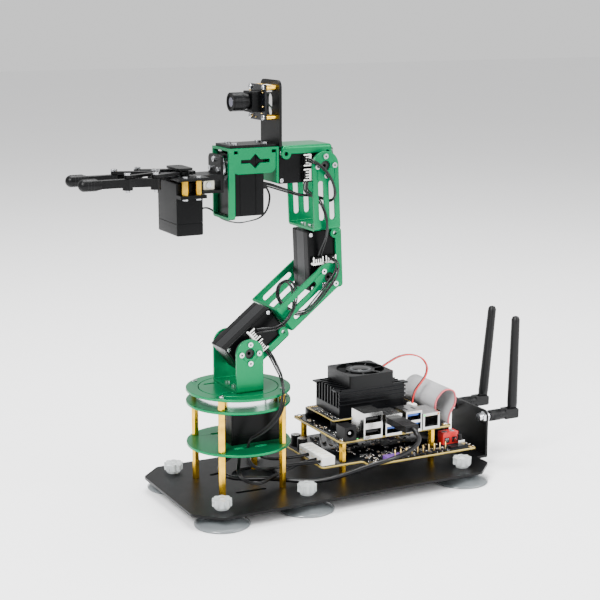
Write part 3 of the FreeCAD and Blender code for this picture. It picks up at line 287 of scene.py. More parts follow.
def pivot_rule(pivot):
    """The servo discs seen through the ears are painted dark as painted shade between the ears; the screws round
    them are bright.
    """

    def rule(centre, normal):
        near = math.hypot(centre.x - pivot.x, centre.z - pivot.z) < HORN_REACH
        # painted shade on the hardware near the pivot and between the ears
        return 1 if near and abs(centre.y) < EAR_FACE else 0

    return rule


for node, pivot in (("turntable_hardware", SHOULDER), ("elbow_hardware", ELBOW), ("wrist_hardware", WRIST)):
    dress(node, STEEL, SHADE_AND_BLACK, width=0.00016, rule=pivot_rule(pivot))
dress("base_hardware", STEEL, width=0.00016)

SPACER_LOW, SPACER_HIGH = 0.2351, 0.2449
SPACER_FRONT = -0.035
SPACER_MIDDLE_Y, SPACER_OUT = 0.002, 0.018
FOOT_TOP, UPRIGHT_FACE = 0.2671, 0.0245


def hand_rule(centre, normal):
    """The spacers beside the gripper servo are brass, and the rest of the hand's hardware is steel."""
    outward = centre.x < SPACER_FRONT and abs(centre.y - SPACER_MIDDLE_Y) > SPACER_OUT
    return 1 if outward and SPACER_LOW < centre.z < SPACER_HIGH else 0


def bracket_rule(centre, normal):
    """The screws over the camera bracket's foot are steel."""
    return 1 if centre.z > FOOT_TOP and centre.x < UPRIGHT_FACE else 0


dress("hand_hardware", STEEL, BRASS, width=0.00016, rule=hand_rule)
dress("camera_bracket", BLACK, STEEL, rule=bracket_rule)
dress("camera_lens", SERVO, width=0.0002)
for node in ("hand_bracket", "gripper_plate", "near_gear_arm", "far_gear_arm", "near_link", "far_link"):
    dress(node, BLACK, width=0.0002)


FINGER_LOW, FINGER_HIGH = 0.2402, 0.2506


def finger_rule(centre, normal):
    """A finger is black; what stands out above or below it is steel."""
    return 0 if FINGER_LOW <= centre.z <= FINGER_HIGH else 1


dress("near_finger", BLACK, STEEL, rule=finger_rule, width=0.0003)
dress("far_finger", BLACK, STEEL, rule=finger_rule, width=0.0003)


SIDEWAYS = 0.5  # a face whose normal has less of an axis than this counts as lying along it


def board_rule(low, high):
    """The rim of a board between two heights shows its raw edge."""

    def rule(centre, normal):
        return 1 if low < centre.z < high and abs(normal.z) < SIDEWAYS else 0

    return rule


EXPANSION_LOW, EXPANSION_HIGH = 0.0209, 0.0227
dress("expansion_board", MASK, EDGE, rule=board_rule(EXPANSION_LOW, EXPANSION_HIGH), width=0.0)

CARRIER_HIGH = 0.0399
MODULE_LOW, MODULE_HIGH = 0.04635, 0.0477
SOCKET_HIGH = 0.0464
MODULE_FAR = 0.0436


def computer_rule(centre, normal):
    """Both boards' rims are raw edge, and the socket between the boards is dark."""
    rim = abs(normal.z) < SIDEWAYS
    if rim and centre.z < CARRIER_HIGH:
        return 1
    if rim and MODULE_LOW < centre.z < MODULE_HIGH and centre.y < MODULE_FAR:
        return 1
    if centre.z > CARRIER_HIGH and (centre.y > MODULE_FAR or centre.z < SOCKET_HIGH):
        return 2
    return 0


dress("computer_boards", MASK, EDGE, CHIP, rule=computer_rule, width=0.0)


SOCKETS_X, SOCKETS_Y = 0.0695, 0.0145
TERMINAL_X, TERMINAL_Y, TERMINAL_Z = (0.167, 0.1825), -0.013, 0.0226
SHELL_X, SHELL_Y = 0.1765, -0.0235
CLAMP_Y = -0.0225
FAR_COIL_X, FAR_COIL_Y = (0.139, 0.153), 0.029
NEAR_COIL_X, NEAR_COIL_Y = (0.107, 0.123), -0.0295


def within(value, span):
    return span[0] < value < span[1]


def expansion_rule(centre, normal):
    """White servo sockets, a red terminal block with a nickel shell beside it, and two violet coils."""
    if centre.x < SOCKETS_X and centre.y < SOCKETS_Y:
        return 1
    if within(centre.x, TERMINAL_X) and centre.y < TERMINAL_Y and centre.z > TERMINAL_Z:
        if centre.x > SHELL_X and centre.y < SHELL_Y:
            return 4
        return 2 if centre.y > CLAMP_Y else 0
    far_coil = within(centre.x, FAR_COIL_X) and centre.y > FAR_COIL_Y
    near_coil = within(centre.x, NEAR_COIL_X) and centre.y < NEAR_COIL_Y
    return 3 if far_coil or near_coil else 0


dress("expansion_parts", CHIP, WHITE, RED, PURPLE, NICKEL, rule=expansion_rule, width=0.0002)
dress("button_cap", CHIP, width=0.0002)


JACK_X = 0.0865
OPENING_DEPTH_Y = -0.02


def port_rule(centre, normal):
    """The power jack is black plastic, and the backs of the other ports' openings are painted dark as painted
    shade.
    """
    if centre.x < JACK_X:
        return 1
    # painted shade on the back walls inside the openings
    return 2 if centre.y > OPENING_DEPTH_Y and normal.y < -SIDEWAYS else 0


dress("board_ports", NICKEL, CHIP, SHADE_AND_BLACK, rule=port_rule, width=0.00018)


FAN_PLUG_X, FAN_PLUG_Y = (0.1515, 0.1585), -0.001


def plug_rule(centre, normal):
    """The fan's plug and header are white."""
    return 1 if within(centre.x, FAN_PLUG_X) and centre.y > FAN_PLUG_Y else 0


dress("cable_plugs", CHIP, WHITE, rule=plug_rule, width=0.00025)
dress("heatsink", SINK, width=0.0002)
dress("fan_frame", FAN, width=0.0004)
dress("fan_rotor", FAN, width=0.0002)
dress("ribbon_cable", RIBBON, width=0.0)
for node in ("antenna_elbows", "near_antenna", "far_antenna"):
    dress(node, RUBBER, width=0.0004)


HOLDER_X, BOARD_BACK_X = 0.0169, 0.0187
CAMERA_SOCKET_Y, CAMERA_SOCKET_Z = 0.009, 0.3034


def camera_rule(centre, normal):
    """The lens holder is black, the socket behind the board white and the pillars there brass."""
    if centre.x < HOLDER_X:
        return 2
    if centre.x <= BOARD_BACK_X:
        return 0
    return 1 if centre.z > CAMERA_SOCKET_Z and abs(centre.y) < CAMERA_SOCKET_Y else 3


dress("camera_board", MASK, WHITE, SERVO, BRASS, rule=camera_rule, width=0.00015)

# ------------------------------------------------------------------ made pieces


def finish_piece(name, mesh, body, mats, bevel=0.0):
    """Link a made mesh with its materials and edges; a piece without a body is left without a parent."""
    obj = bpy.data.objects.new(name, mesh)
    bpy.context.scene.collection.objects.link(obj)
    for mat in mats:
        mesh.materials.append(mat)
    for face in mesh.polygons:
        face.use_smooth = True
    if bevel:
        edges = obj.modifiers.new("edges", "BEVEL")
        edges.width = bevel
        edges.segments = 2
        edges.limit_method = "ANGLE"
        edges.angle_limit = MADE_EDGE
        edges.harden_normals = True
    if body:
        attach(obj, body)
    return obj


class Kit:
    """Collects the blocks, discs and domes of one piece, in millimetres from its seat."""

    def __init__(self, seat=None):
        self.bm = bmesh.new()
        self.seat = seat or Matrix.Identity(4)

    def _stamp(self, made, matrix, index):
        for vert in made["verts"]:
            vert.co = matrix @ vert.co
        for face in {f for v in made["verts"] for f in v.link_faces}:
            face.material_index = index

    def block(self, size, corner, index=0, spin=None):
        made = bmesh.ops.create_cube(self.bm, size=1.0)
        middle = Vector(corner) + Vector(size) / 2
        turn = spin.to_matrix().to_4x4() if spin else Matrix.Identity(4)
        matrix = (Matrix.Scale(MM, 4) @ Matrix.Translation(middle) @ turn
                  @ Matrix.Diagonal((*size, 1)))
        self._stamp(made, self.seat @ matrix, index)

    def disc(self, radius, tall, start, axis="Z", index=0, sides=24, top=None):
        made = bmesh.ops.create_cone(self.bm, cap_ends=True, segments=sides, radius1=radius,
                                     radius2=radius if top is None else top, depth=tall)
        turn = {"X": Matrix.Rotation(math.pi / 2, 4, "Y"), "Y": Matrix.Rotation(-math.pi / 2, 4, "X"),
                "Z": Matrix.Identity(4)}[axis]
        matrix = Matrix.Translation(Vector(start)) @ turn @ Matrix.Translation((0, 0, tall / 2))
        self._stamp(made, self.seat @ Matrix.Scale(MM, 4) @ matrix, index)

    def dome(self, radius, centre, flat=1.0, index=0):
        made = bmesh.ops.create_uvsphere(self.bm, u_segments=20, v_segments=10, radius=radius)
        matrix = Matrix.Translation(Vector(centre)) @ Matrix.Diagonal((1, 1, flat, 1))
        self._stamp(made, self.seat @ Matrix.Scale(MM, 4) @ matrix, index)

    def done(self, name, body, mats, bevel=0.00012):
        mesh = bpy.data.meshes.new(name)
        bmesh.ops.recalc_face_normals(self.bm, faces=self.bm.faces)
        self.bm.to_mesh(mesh)
        self.bm.free()
        return finish_piece(name, mesh, body, mats, bevel)


# leads -------------------------------------------------------------


def spline_points(name, route):
    """Points along a smooth NURBS curve that starts and ends on the route and is steered by its points."""
    curve = bpy.data.curves.new(name + "_line", "CURVE")
    curve.dimensions = "3D"
    curve.resolution_u = 10
    spline = curve.splines.new("NURBS")
    spline.points.add(len(route) - 1)
    for point, place in zip(spline.points, route):
        point.co = (*[c * MM for c in place], 1)
    spline.order_u = 3
    spline.use_endpoint_u = True
    holder = bpy.data.objects.new(name + "_line", curve)
    bpy.context.scene.collection.objects.link(holder)
    bpy.context.view_layer.update()
    depsgraph = bpy.context.evaluated_depsgraph_get()
    mesh = bpy.data.meshes.new_from_object(holder.evaluated_get(depsgraph))
    points = [v.co.copy() for v in mesh.vertices]
    bpy.data.objects.remove(holder)
    bpy.data.meshes.remove(mesh)
    bpy.data.curves.remove(curve)
    return points


def wires(name, route, radius, offsets, mats, body=None, twist=0.0, sides=10):
    """Round wires side by side along one route.

    Each offset is (across, out) in millimetres, and twist is in radians a millimetre.
    """
    points = spline_points(name, route)
    bm = bmesh.new()
    side = None
    frames = []
    lengths = [0.0]
    for one, other in zip(points, points[1:]):
        lengths.append(lengths[-1] + (other - one).length)
    for number, point in enumerate(points):
        after = points[min(number + 1, len(points) - 1)]
        before = points[max(number - 1, 0)]
        run = (after - before).normalized()
        if side is None:
            side = Vector((0, 1, 0)).cross(run)
            if side.length < 0.2:
                side = Vector((1, 0, 0)).cross(run)
        side = (side - run * side.dot(run)).normalized()
        frames.append((point, run, side, run.cross(side)))
    for index, (across, out) in enumerate(offsets):
        rings = []
        for (point, run, one, two), along in zip(frames, lengths):
            angle = twist * along / MM
            axis_a = one * math.cos(angle) + two * math.sin(angle)
            axis_b = two * math.cos(angle) - one * math.sin(angle)
            centre = point + axis_a * across * MM + axis_b * out * MM
            ring = []
            for step in range(sides):
                turn = 2 * math.pi * step / sides
                outward = axis_a * math.cos(turn) + axis_b * math.sin(turn)
                ring.append(bm.verts.new(centre + outward * radius * MM))
            rings.append(ring)
        for ring, following in zip(rings, rings[1:]):
            for step in range(sides):
                other = (step + 1) % sides
                face = bm.faces.new((ring[step], ring[other], following[other], following[step]))
                face.material_index = index % len(mats)
        for ring in (rings[0][::-1], rings[-1]):
            bm.faces.new(ring).material_index = index % len(mats)
    mesh = bpy.data.meshes.new(name)
    bm.to_mesh(mesh)
    bm.free()
    return finish_piece(name, mesh, body, mats)


USB_ROUTE = [(118, -56.1, 52.1), (118.3, -62, 51.6), (119.8, -64.5, 44.5), (115, -59, 36.5),
             (107, -51.5, 30), (96, -46.5, 26.3), (82, -44.5, 23.5), (66, -41.5, 19),
             (51, -35.5, 15.3), (37, -25.5, 14.6), (25, -17, 15.5), (11, -17, 18),
             (-3, -18.5, 20.5), (-14.5, -16.5, 22.5), (-19, -6, 24.5), (-13, 3.5, 28),
             (-2, 3.5, 33), (0.5, 0, 43.7)]
FAN_ROUTE = [(139.2, 27.5, 78), (146, 28.2, 81), (155, 26, 86), (163, 22, 87.6), (170.5, 17, 85.6),
             (174, 12.5, 79), (170.5, 9, 72), (163.5, 7, 66.5), (156.5, 5.6, 60), (155.1, 5, 51.95)]
BASE_ROUTES = [
    [(-2.8, -20.8, 43.6), (-2.8, -21.2, 37), (2, -22, 30), (12, -20.5, 26), (24, -17, 24.6), (38, -17.5, 25.2),
     (49, -21.4, 25.8), (57.8, -21.7, 25.8)],
    [(14, 5, 43.7), (14.4, 6, 34), (22, 8, 26), (34, 5, 23), (46, -2, 25.2), (57.8, -2.5, 25.8)],
    [(-3, -7, 43.7), (-4, -10, 34), (-10, -19, 25), (-4, -26, 19.5), (7, -26, 18), (18, -20, 18.8),
     (31, -14.5, 20), (45, -15, 24.8), (57.8, -15.3, 25.8)],
]
YAW_ROUTE = [(19.2, -37, 86.85), (18.4, -37.3, 79.5), (15.5, -36.5, 71.5), (10, -32, 62.5),
             (4, -27, 56), (-1.8, -22, 51.5), (-2.8, -20.8, 43.75)]
SHOULDER_ROUTE = [(15.25, -16.3, 116.9), (18, -18.8, 112.6), (20, -22.8, 106), (21.5, -28, 99.5),
                  (20.2, -34.5, 94.5), (19.2, -37, 87.15)]
ELBOW_ROUTE = [(8.3, -14.9, 130.6), (13, -16.6, 131.6), (18.5, -20.8, 132.4), (23.5, -24.2, 135),
               (29, -24.8, 139.8), (34, -24, 146), (37.5, -19.5, 151), (41.5, -12, 155),
               (44.5, -3, 160), (43, 6, 162.5), (37.5, 8.5, 158), (34.2, 3, 150.5), (35, -6, 145.3),
               (37, -13.5, 142.8), (39.8, -20, 141.9), (44, -25, 143.8), (50, -25.5, 149.3),
               (57, -25.5, 156.3), (63.3, -25.3, 163), (68.6, -25.2, 169.5), (71, -24.2, 176.5),
               (69.9, -21.5, 179.9), (69.6, -16.95, 180.1)]
WRIST_ROUTE = [(60, -15.2, 182.2), (60.6, -17.5, 188), (61.8, -21.5, 196), (62, -24.6, 205),
               (60.8, -24.8, 213), (59, -22.8, 219.5), (58.3, -19, 223.8), (55.5, -14.8, 227.5),
               (50.5, -13.5, 230.5), (48.2, -14.8, 234.5), (49.2, -15.3, 239.4)]
ROLL_ROUTE = [(20.2, -1.5, 236.9), (25.5, -1.8, 236), (32, -4.5, 233.5), (39, -8, 231),
              (46, -10, 228.3), (53, -10.5, 227.5), (60, -11.5, 226.3), (65, -14.5, 224.6),
              (67.1, -19.5, 223.6), (68, -24.6, 227), (67.4, -25, 234), (64.8, -24.8, 241),
              (59.5, -24.8, 247.5), (53.8, -24.7, 252), (49.8, -22.5, 254.2), (49.2, -16.8, 254.3)]
CAMERA_ROUTE = [(22, -4, 303.5), (22.2, -3.4, 298), (26, 0, 294), (31.5, 4, 291), (34.3, 9, 283),
                (34.6, 15, 273.5), (33.8, 18.6, 264), (31, 18.2, 256.5), (26.3, 16.5, 254)]
GRIPPER_ROUTE = [(-32.6, 6, 219), (-26.5, 7.5, 219.6), (-18, 15, 220.3), (-11, 18.2, 217.5),
                 (-6, 16, 211.5), (-4, 8, 210.3), (-4, -3, 210.6), (-2, -11, 211.2),
                 (5, -13, 212.5), (13, -11, 213.4), (19.5, -8.5, 217), (23, -7, 223),
                 (24, -6.3, 231), (20.15, -6, 236.3)]

# how the wires of a bundle lie round its route
THREE = [(-0.62, -0.36), (0.62, -0.36), (0, 0.72)]
FLAT = [(-1.25, -0.2), (0, 0.45), (1.25, -0.15)]
LOOSE = [(-2.0, -0.3), (-0.7, 0.6), (0.7, -0.5), (1.9, 0.3)]
PAIR = [(-0.36, 0), (0.36, 0)]
usb = wires("usb_wire", USB_ROUTE, 1.7, [(0, 0)], [CABLE], "base", sides=16)
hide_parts("usb_cable")
for side, mat in ((-0.75, RED), (0.75, CABLE)):
    route = [(x, y + side, z) for x, y, z in FAN_ROUTE]
    fan_wire = wires(f"fan_wire_{'red' if side < 0 else 'black'}", route, 0.6, [(0, 0)], [mat], "base")
    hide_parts("fan_cable")
for number, route in enumerate(BASE_ROUTES):
    made = wires(f"base_wires_{number}", route, 0.72, THREE, [CABLE], "base", twist=0.03)
    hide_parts("base_leads")
camera_wire = wires("camera_wires", CAMERA_ROUTE, 0.52, PAIR, [CABLE], "wrist", twist=0.05)
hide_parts("camera_lead")
for name, route, spread, radius, ends, node in (
        ("yaw_wires", YAW_ROUTE, FLAT, 0.66, ("base", "turntable"), "yaw_lead"),
        ("shoulder_wires", SHOULDER_ROUTE, FLAT, 0.62, ("turntable", "upper_arm"), "shoulder_lead"),
        ("elbow_wires", ELBOW_ROUTE, LOOSE, 0.6, ("upper_arm", "forearm"), "elbow_lead"),
        ("wrist_wires", WRIST_ROUTE, FLAT, 0.62, ("forearm", "wrist"), "wrist_lead"),
        ("roll_wires", ROLL_ROUTE, FLAT, 0.62, ("forearm", "wrist"), "roll_lead"),
        ("gripper_wires", GRIPPER_ROUTE, PAIR, 0.42, ("wrist", "hand"), "gripper_lead")):
    made = wires(name, route, radius, spread, [CABLE], twist=0.04)
    first, last = Vector(route[0]) * MM, Vector(route[-1]) * MM
    if name in ("yaw_wires", "shoulder_wires"):
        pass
    elif name == "roll_wires":
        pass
    elif name == "gripper_wires":
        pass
    elif name == "elbow_wires":
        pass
    else:
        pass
    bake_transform(made)
    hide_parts(node)

# the camera lead's two plugs
kit = Kit()
kit.block((3.5, 11.5, 4.6), (16.5, -9.5, 234.4), 0)
for step in range(4):
    kit.block((0.3, 0.9, 3.4), (20.0, -8.4 + 2.6 * step, 235), 1)
kit.block((9, 4, 5), (17, 14.5, 251.5), 2)
kit.block((3.2, 3.4, 4.2), (17.6, 14.8, 251.9), 3)
plugs = kit.done("camera_lead_plugs", "wrist", [CHIP, STEEL, WHITE, CREAM], 0.0002)
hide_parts("camera_lead")


def servo_plugs(name, seat, body):
    """White combs in a servo's two sockets: a back, two side ribs, three teeth and three contacts."""
    kit = Kit(seat)
    for x, z in ((12.5, 6.3), (12.5, -4.3)):
        kit.block((1.5, 3.9, 8.6), (x - 3.1, -17.0, z - 4.3), 0)
        kit.block((5.2, 0.5, 0.9), (x - 2.3, -17.0, z - 4.3), 0)
        kit.block((5.2, 0.5, 0.9), (x - 2.3, -17.0, z + 3.4), 0)
        for row in range(3):
            kit.block((0.5, 0.5, 1.0), (x + 1.2, -15.9, z - 2.7 + 2.1 * row), 1)
        for row in range(3):
            kit.block((3.1, 0.5, 0.75), (x - 1.9, -17.0, z - 2.3 + 1.9 * row), 0)
    kit.done(name, body, [WHITE, GOLD], 0.00012)


servo_plugs("shoulder_plugs", UPPER, "upper_arm")
servo_plugs("elbow_plugs", FORE, "forearm")
servo_plugs("wrist_plugs", HAND, "wrist")

CASE_DEEP = 13.0


def case_screws(name, seat, body):
    """A slotted screw in each corner of a servo's two faces; each slot is a dark block of painted shade."""
    kit = Kit(seat)
    for x, z in ((-8.6, -9.9), (-8.6, 9.9), (31.6, -9.9), (31.6, 9.9)):
        for y in (-CASE_DEEP - 0.25, CASE_DEEP - 0.35):
            kit.disc(1.5, 0.6, (x, y, z), "Y")
            # the slot is painted shade
            kit.block((1.8, 0.62, 0.4), (x - 0.9, y - 0.02 if y < 0 else y, z - 0.2), 1)
    kit.done(name, body, [STEEL, SHADE_AND_BLACK], 0.0001)


case_screws("shoulder_case_screws", UPPER, "upper_arm")
case_screws("elbow_case_screws", FORE, "forearm")
case_screws("wrist_case_screws", HAND, "wrist")

HEAD_FACE_Y = -22.62
HORN_CIRCLE = 7


def crosses(name, seat, body, places):
    """A pressed cross in every screw head seen from the front, drawn as thin dark blocks of painted shade."""
    kit = Kit(seat)
    for x, z, angle in places:
        for turn in (0, math.pi / 2):
            kit.block((2.3, 0.08, 0.45), (x - 1.15, HEAD_FACE_Y - 0.06, z - 0.225), 0,
                      Euler((0, angle + turn, 0)))
    kit.done(name, body, [SHADE_AND_BLACK], 0.0)


def circle(first):
    """Four screws of a horn, each with its cross at another angle."""
    places = []
    for step in range(4):
        angle = math.radians(first + 90 * step)
        places.append((HORN_CIRCLE * math.cos(angle), HORN_CIRCLE * math.sin(angle), 0.6 * step + 0.3))
    return places


crosses("shoulder_screw_crosses", turned(SHOULDER, UPRIGHT_ANGLE), "turntable", circle(0))
crosses("elbow_screw_crosses", turned(ELBOW, UPPER_ANGLE), "upper_arm", circle(7))
crosses("wrist_screw_crosses", turned(WRIST, FORE_ANGLE), "forearm", circle(0))

# ------------------------------------------------------------------ boards

SMALL = [CHIP, NICKEL, CERAMIC, GOLD, WHITE, SHADE_AND_BLACK, LAMP, STEEL]
CHIP_I, NICKEL_I, CERAMIC_I, GOLD_I, WHITE_I, PAINTED_SHADE_I, LAMP_I, STEEL_I = range(len(SMALL))
GAP = 0.4


def small_parts(kit, area, level, count, keep_off):
    """Two-ended chips and small blocks over an area, clear of the boxes named in keep_off."""
    x0, y0, x1, y1 = area
    placed = 0
    for _ in range(count * 6):
        if placed >= count:
            return
        long, wide = rng.choice(((1.6, 0.8), (2.0, 1.25), (1.0, 0.5), (3.2, 1.6), (2.9, 2.4)))
        if rng.random() < 0.5:
            long, wide = wide, long
        x, y = rng.uniform(x0, x1 - long), rng.uniform(y0, y1 - wide)
        if any(a - GAP < x + long and x < c + GAP and b - GAP < y + wide and y < d + GAP
               for a, b, c, d in keep_off):
            continue
        keep_off.append((x, y, x + long, y + wide))
        tall = rng.uniform(0.45, 1.0)
        kind = rng.choice((CHIP_I, CERAMIC_I, CERAMIC_I, CHIP_I))
        kit.block((long, wide, tall), (x, y, level), kind)
        if long > wide:
            kit.block((0.35, wide + 0.05, tall + 0.04), (x - 0.05, y - 0.025, level), NICKEL_I)
            kit.block((0.35, wide + 0.05, tall + 0.04), (x + long - 0.3, y - 0.025, level), NICKEL_I)
        else:
            kit.block((long + 0.05, 0.35, tall + 0.04), (x - 0.025, y - 0.05, level), NICKEL_I)
            kit.block((long + 0.05, 0.35, tall + 0.04), (x - 0.025, y + wide - 0.3, level), NICKEL_I)
        placed += 1


def leaded_chip(kit, corner, size, pins, sides="x"):
    """A chip body with rows of bent legs on two sides, or on all four when sides is xy."""
    x, y, z = corner
    long, wide, tall = size
    kit.block(size, (x, y, z + 0.1), CHIP_I)
    kit.disc(0.35, 0.04, (x + 1, y + 1, z + 0.1 + tall), index=GOLD_I, sides=12)
    if "x" in sides:
        for step in range(pins):
            px = x + (step + 0.5) * long / pins
            for py in (y - 0.7, y + wide - 0.1):
                kit.block((0.32, 0.8, 0.2), (px - 0.16, py, z), NICKEL_I)
    if "y" in sides:
        for step in range(pins):
            py = y + (step + 0.5) * wide / pins
            for px in (x - 0.7, x + long - 0.1):
                kit.block((0.8, 0.32, 0.2), (px, py - 0.16, z), NICKEL_I)


# expansion board
HAT = 22.6
PIN_PITCH = 2.54
kit = Kit()
off = [(57, -38, 93, -26), (57, -25, 70, 15), (99, 9, 110, 20), (166, -36, 184, -12), (59, 15, 69, 36),
       (139, 29, 153, 43), (73, -26, 81, -18), (73, 38, 81, 46), (152, -26, 161, -18), (152, 38, 161, 46),
       (174, -14, 184, 40), (107, -37, 123, -29)]
small_parts(kit, (94, -37, 188, -14), HAT, 90, off)
small_parts(kit, (71, -24, 188, 49), HAT, 110, off)
leaded_chip(kit, (126, -35, HAT), (6, 5, 1.3), 8)
leaded_chip(kit, (138, -35.5, HAT), (7, 7, 1.1), 10, "xy")
leaded_chip(kit, (151, -34, HAT), (5, 4, 1.3), 4)
for x in (97, 101, 105):
    kit.disc(0.6, 0.7, (x, -35.5, HAT), index=LAMP_I if x == 101 else WHITE_I, sides=10)
# each mounting hole is a gold ring with a dark disc of painted shade in it
for x, y in ((60, 47), (186, -35), (186, 47), (96, -35)):
    kit.disc(2.6, 0.06, (x, y, HAT), index=GOLD_I)
    kit.disc(1.5, 0.1, (x, y, HAT), index=PAINTED_SHADE_I)
for row in range(1, 20, 2):
    kit.block((0.64, 0.64, 8.2), (112 + PIN_PITCH * row, -36.9, HAT), GOLD_I)
    kit.block((2.4, 2.4, 2.2), (111 + PIN_PITCH * row, -37.8, HAT), CHIP_I)
kit.done("expansion_small_parts", "base", SMALL, 0.0)

kit = Kit()
for row in range(6):
    y = -24.5 + 6.4 * row
    for step in range(3):
        kit.block((0.3, 0.64, 0.64), (57.75, y + 1.1 + 1.4 * step, HAT + 3), 1)
    kit.block((9.0, 0.4, 0.5), (59, y + 0.2, HAT + 6.45), 0)
    kit.block((9.0, 0.4, 0.5), (59, y + 5.0, HAT + 6.45), 0)
    kit.block((5.6, 2.6, 0.3), (61.5, y + 1.5, HAT + 6.4), 2)
kit.done("servo_header_details", "base", [WHITE, GOLD, CREAM], 0.0001)

kit = Kit()
for y in (20, 31):
    kit.disc(3.6, 0.12, (64, y, HAT + 9), index=1)
    # the crosses on the cap tops are painted shade
    kit.block((5.2, 0.25, 0.16), (61.4, y - 0.12, HAT + 9), 2)
    kit.block((0.25, 5.2, 0.16), (63.88, y - 2.6, HAT + 9), 2)
for x in (171.5, 178.5):
    kit.disc(2.3, 0.35, (x, -18, HAT + 9.3), index=1)
    # the screw slot and the wire opening of each terminal are painted shade
    kit.block((3.9, 0.6, 0.1), (x - 1.95, -18.3, HAT + 9.62), 2)
    kit.block((4.6, 0.2, 4.4), (x - 2.3, -22.1, HAT + 1.2), 2)
    kit.block((3.6, 0.3, 2.6), (x - 1.8, -22.25, HAT + 2.0), 1)
kit.disc(5.2, 0.3, (146, 36, HAT + 6.95), index=3, sides=32)
kit.disc(2.0, 0.4, (146, 36, HAT + 6.95), index=2, sides=24)
kit.done("expansion_caps_and_screws", "base", [CAN, STEEL, SHADE_AND_BLACK, PURPLE], 0.0001)

# carrier board
TOP = 39.8
kit = Kit()
off = [(75, -28, 87, -12), (90, -30, 109, -9), (110, -30, 144, -10), (144, -30, 161, -6), (160.5, -14, 171.5, 40),
       (82, 3, 155, 52), (152, -1, 158, 12), (73.5, -26, 81, -18), (73, 38, 81, 46)]
small_parts(kit, (74, -25.5, 172.5, 53.5), TOP, 80, off)
small_parts(kit, (84, -9, 160, 3), TOP, 70, off)
leaded_chip(kit, (95, -7, TOP), (5, 5, 0.9), 7, "xy")
leaded_chip(kit, (118, -7.5, TOP), (6, 6, 0.9), 9, "xy")
leaded_chip(kit, (136, -7, TOP), (4, 5, 1.2), 4)
for x, y in ((77, -22), (77, 50), (169.5, -22), (169.5, 50)):
    kit.disc(2.9, 0.06, (x, y, TOP), index=GOLD_I)
    kit.disc(2.1, 1.0, (x, y, TOP), index=STEEL_I)
    # the cross in each screw head is painted shade
    kit.block((2.6, 0.5, 0.1), (x - 1.3, y - 0.25, TOP + 0.97), PAINTED_SHADE_I)
    kit.block((0.5, 2.6, 0.1), (x - 0.25, y - 1.3, TOP + 0.97), PAINTED_SHADE_I)
for x in (85, 88, 91):
    kit.block((1.0, 0.5, 0.4), (x, -24.8, TOP), LAMP_I if x == 88 else CERAMIC_I)
# the module's visible rim, beside the heatsink
for step in range(44):
    kit.block((0.9, 2.0, 0.06), (83.6 + 1.55 * step, 44.3, 47.6), GOLD_I)
small_parts(kit, (83.2, 4, 89, 42), 47.6, 14, [])
small_parts(kit, (149, 13, 152, 42), 47.6, 8, [])
kit.done("carrier_small_parts", "base", SMALL, 0.0)

# ports: tongues, contacts, rims and springs
kit = Kit()
for left in (110.8, 129):
    for low in (2, 9.6):
        if left == 110.8 and low == 9.6:
            continue
        kit.block((10.4, 8.5, 1.9), (left + 2, -26.8, TOP + low + 2.9), 0)
        for step in range(4):
            kit.block((1.1, 6.5, 0.12), (left + 2.9 + 2.4 * step, -26.6, TOP + low + 2.8), 1)
    for low in (0.4, 8.2, 15.9):
        kit.block((12.4, 0.25, 0.5), (left + 1, -29.1, TOP + low), 2)
    for x in (left + 3.6, left + 10.2):
        # the springs are dark patches of painted shade
        kit.block((1.4, 6, 0.2), (x, -24, TOP + 16.75), 3)
for low in (2.6, 12.6):
    kit.block((11, 7.5, 1.4), (94.2, -26.5, TOP + low + 1.9), 3)
    for step in range(9):
        kit.block((0.5, 6.0, 0.1), (94.7 + 1.1 * step, -26.3, TOP + low + 1.82), 1)
# network socket: contacts above, latch step below, two lamps
for step in range(8):
    kit.block((0.45, 6, 0.25), (148.3 + 1.15 * step, -25, TOP + 9.6), 1)
# the latch step is a dark patch of painted shade
kit.block((4.4, 1.2, 0.9), (150.5, -28.05, TOP + 2.2), 3)
for x, index in ((145.5, 4), (158.2, 5)):
    kit.block((1.6, 0.12, 1.6), (x, -28.08, TOP + 10.9), index)
kit.disc(1.1, 6.5, (81, -25.5, TOP + 6), "Y", 2, 16)
kit.done("port_tongues", "base", [BLUE, GOLD, NICKEL, SHADE_AND_BLACK, LAMP, ORANGE], 0.00008)

# header and socket of the flat cable, fan header, plug of the usb lead
kit = Kit()
for step in range(20):
    y = -11.4 + PIN_PITCH * step
    kit.block((0.5, 0.5, 0.3), (162.6, y, TOP + 8.4), 0)
    kit.block((0.5, 0.5, 0.3), (169.0, y, TOP + 8.4), 0)
kit.block((9.3, 53, 1.2), (161.35, -13.5, TOP + 5.6), 1)
kit.block((6.2, 53, 1.0), (175.9, -13.5, HAT + 5.4), 1)
for y in (-13.9, 38.5):
    kit.block((6, 1.2, 6.5), (163, y, TOP + 1), 1)
for step in range(4):
    kit.block((0.25, 0.9, 3), (157.5, 1.8 + 1.9 * step, TOP + 7.5), 2)
for step in range(5):
    kit.block((10, 0.7, 0.25), (113, -43 - 2.2 * step, TOP + 14.8), 3)
kit.block((11.6, 0.4, 4.6), (112.2, -30.2, TOP + 10), 4)
kit.done("header_details", "base", [GOLD, CHIP, CREAM, SERVO, NICKEL], 0.00012)

# heatsink: ribs along its front, and the wings of its top deck
kit = Kit()
for z in (57.2, 60.4, 63.6, 66.8):
    kit.block((61, 1.2, 1.0), (88.5, 5.4, z), 0)
for x in (86.2, 146.4):
    for y in (6.2, 38.2):
        kit.block((5.4, 7, 1.2), (x, y, 68.9), 0)
kit.done("heatsink_ribs", "base", [SINK], 0.00012)

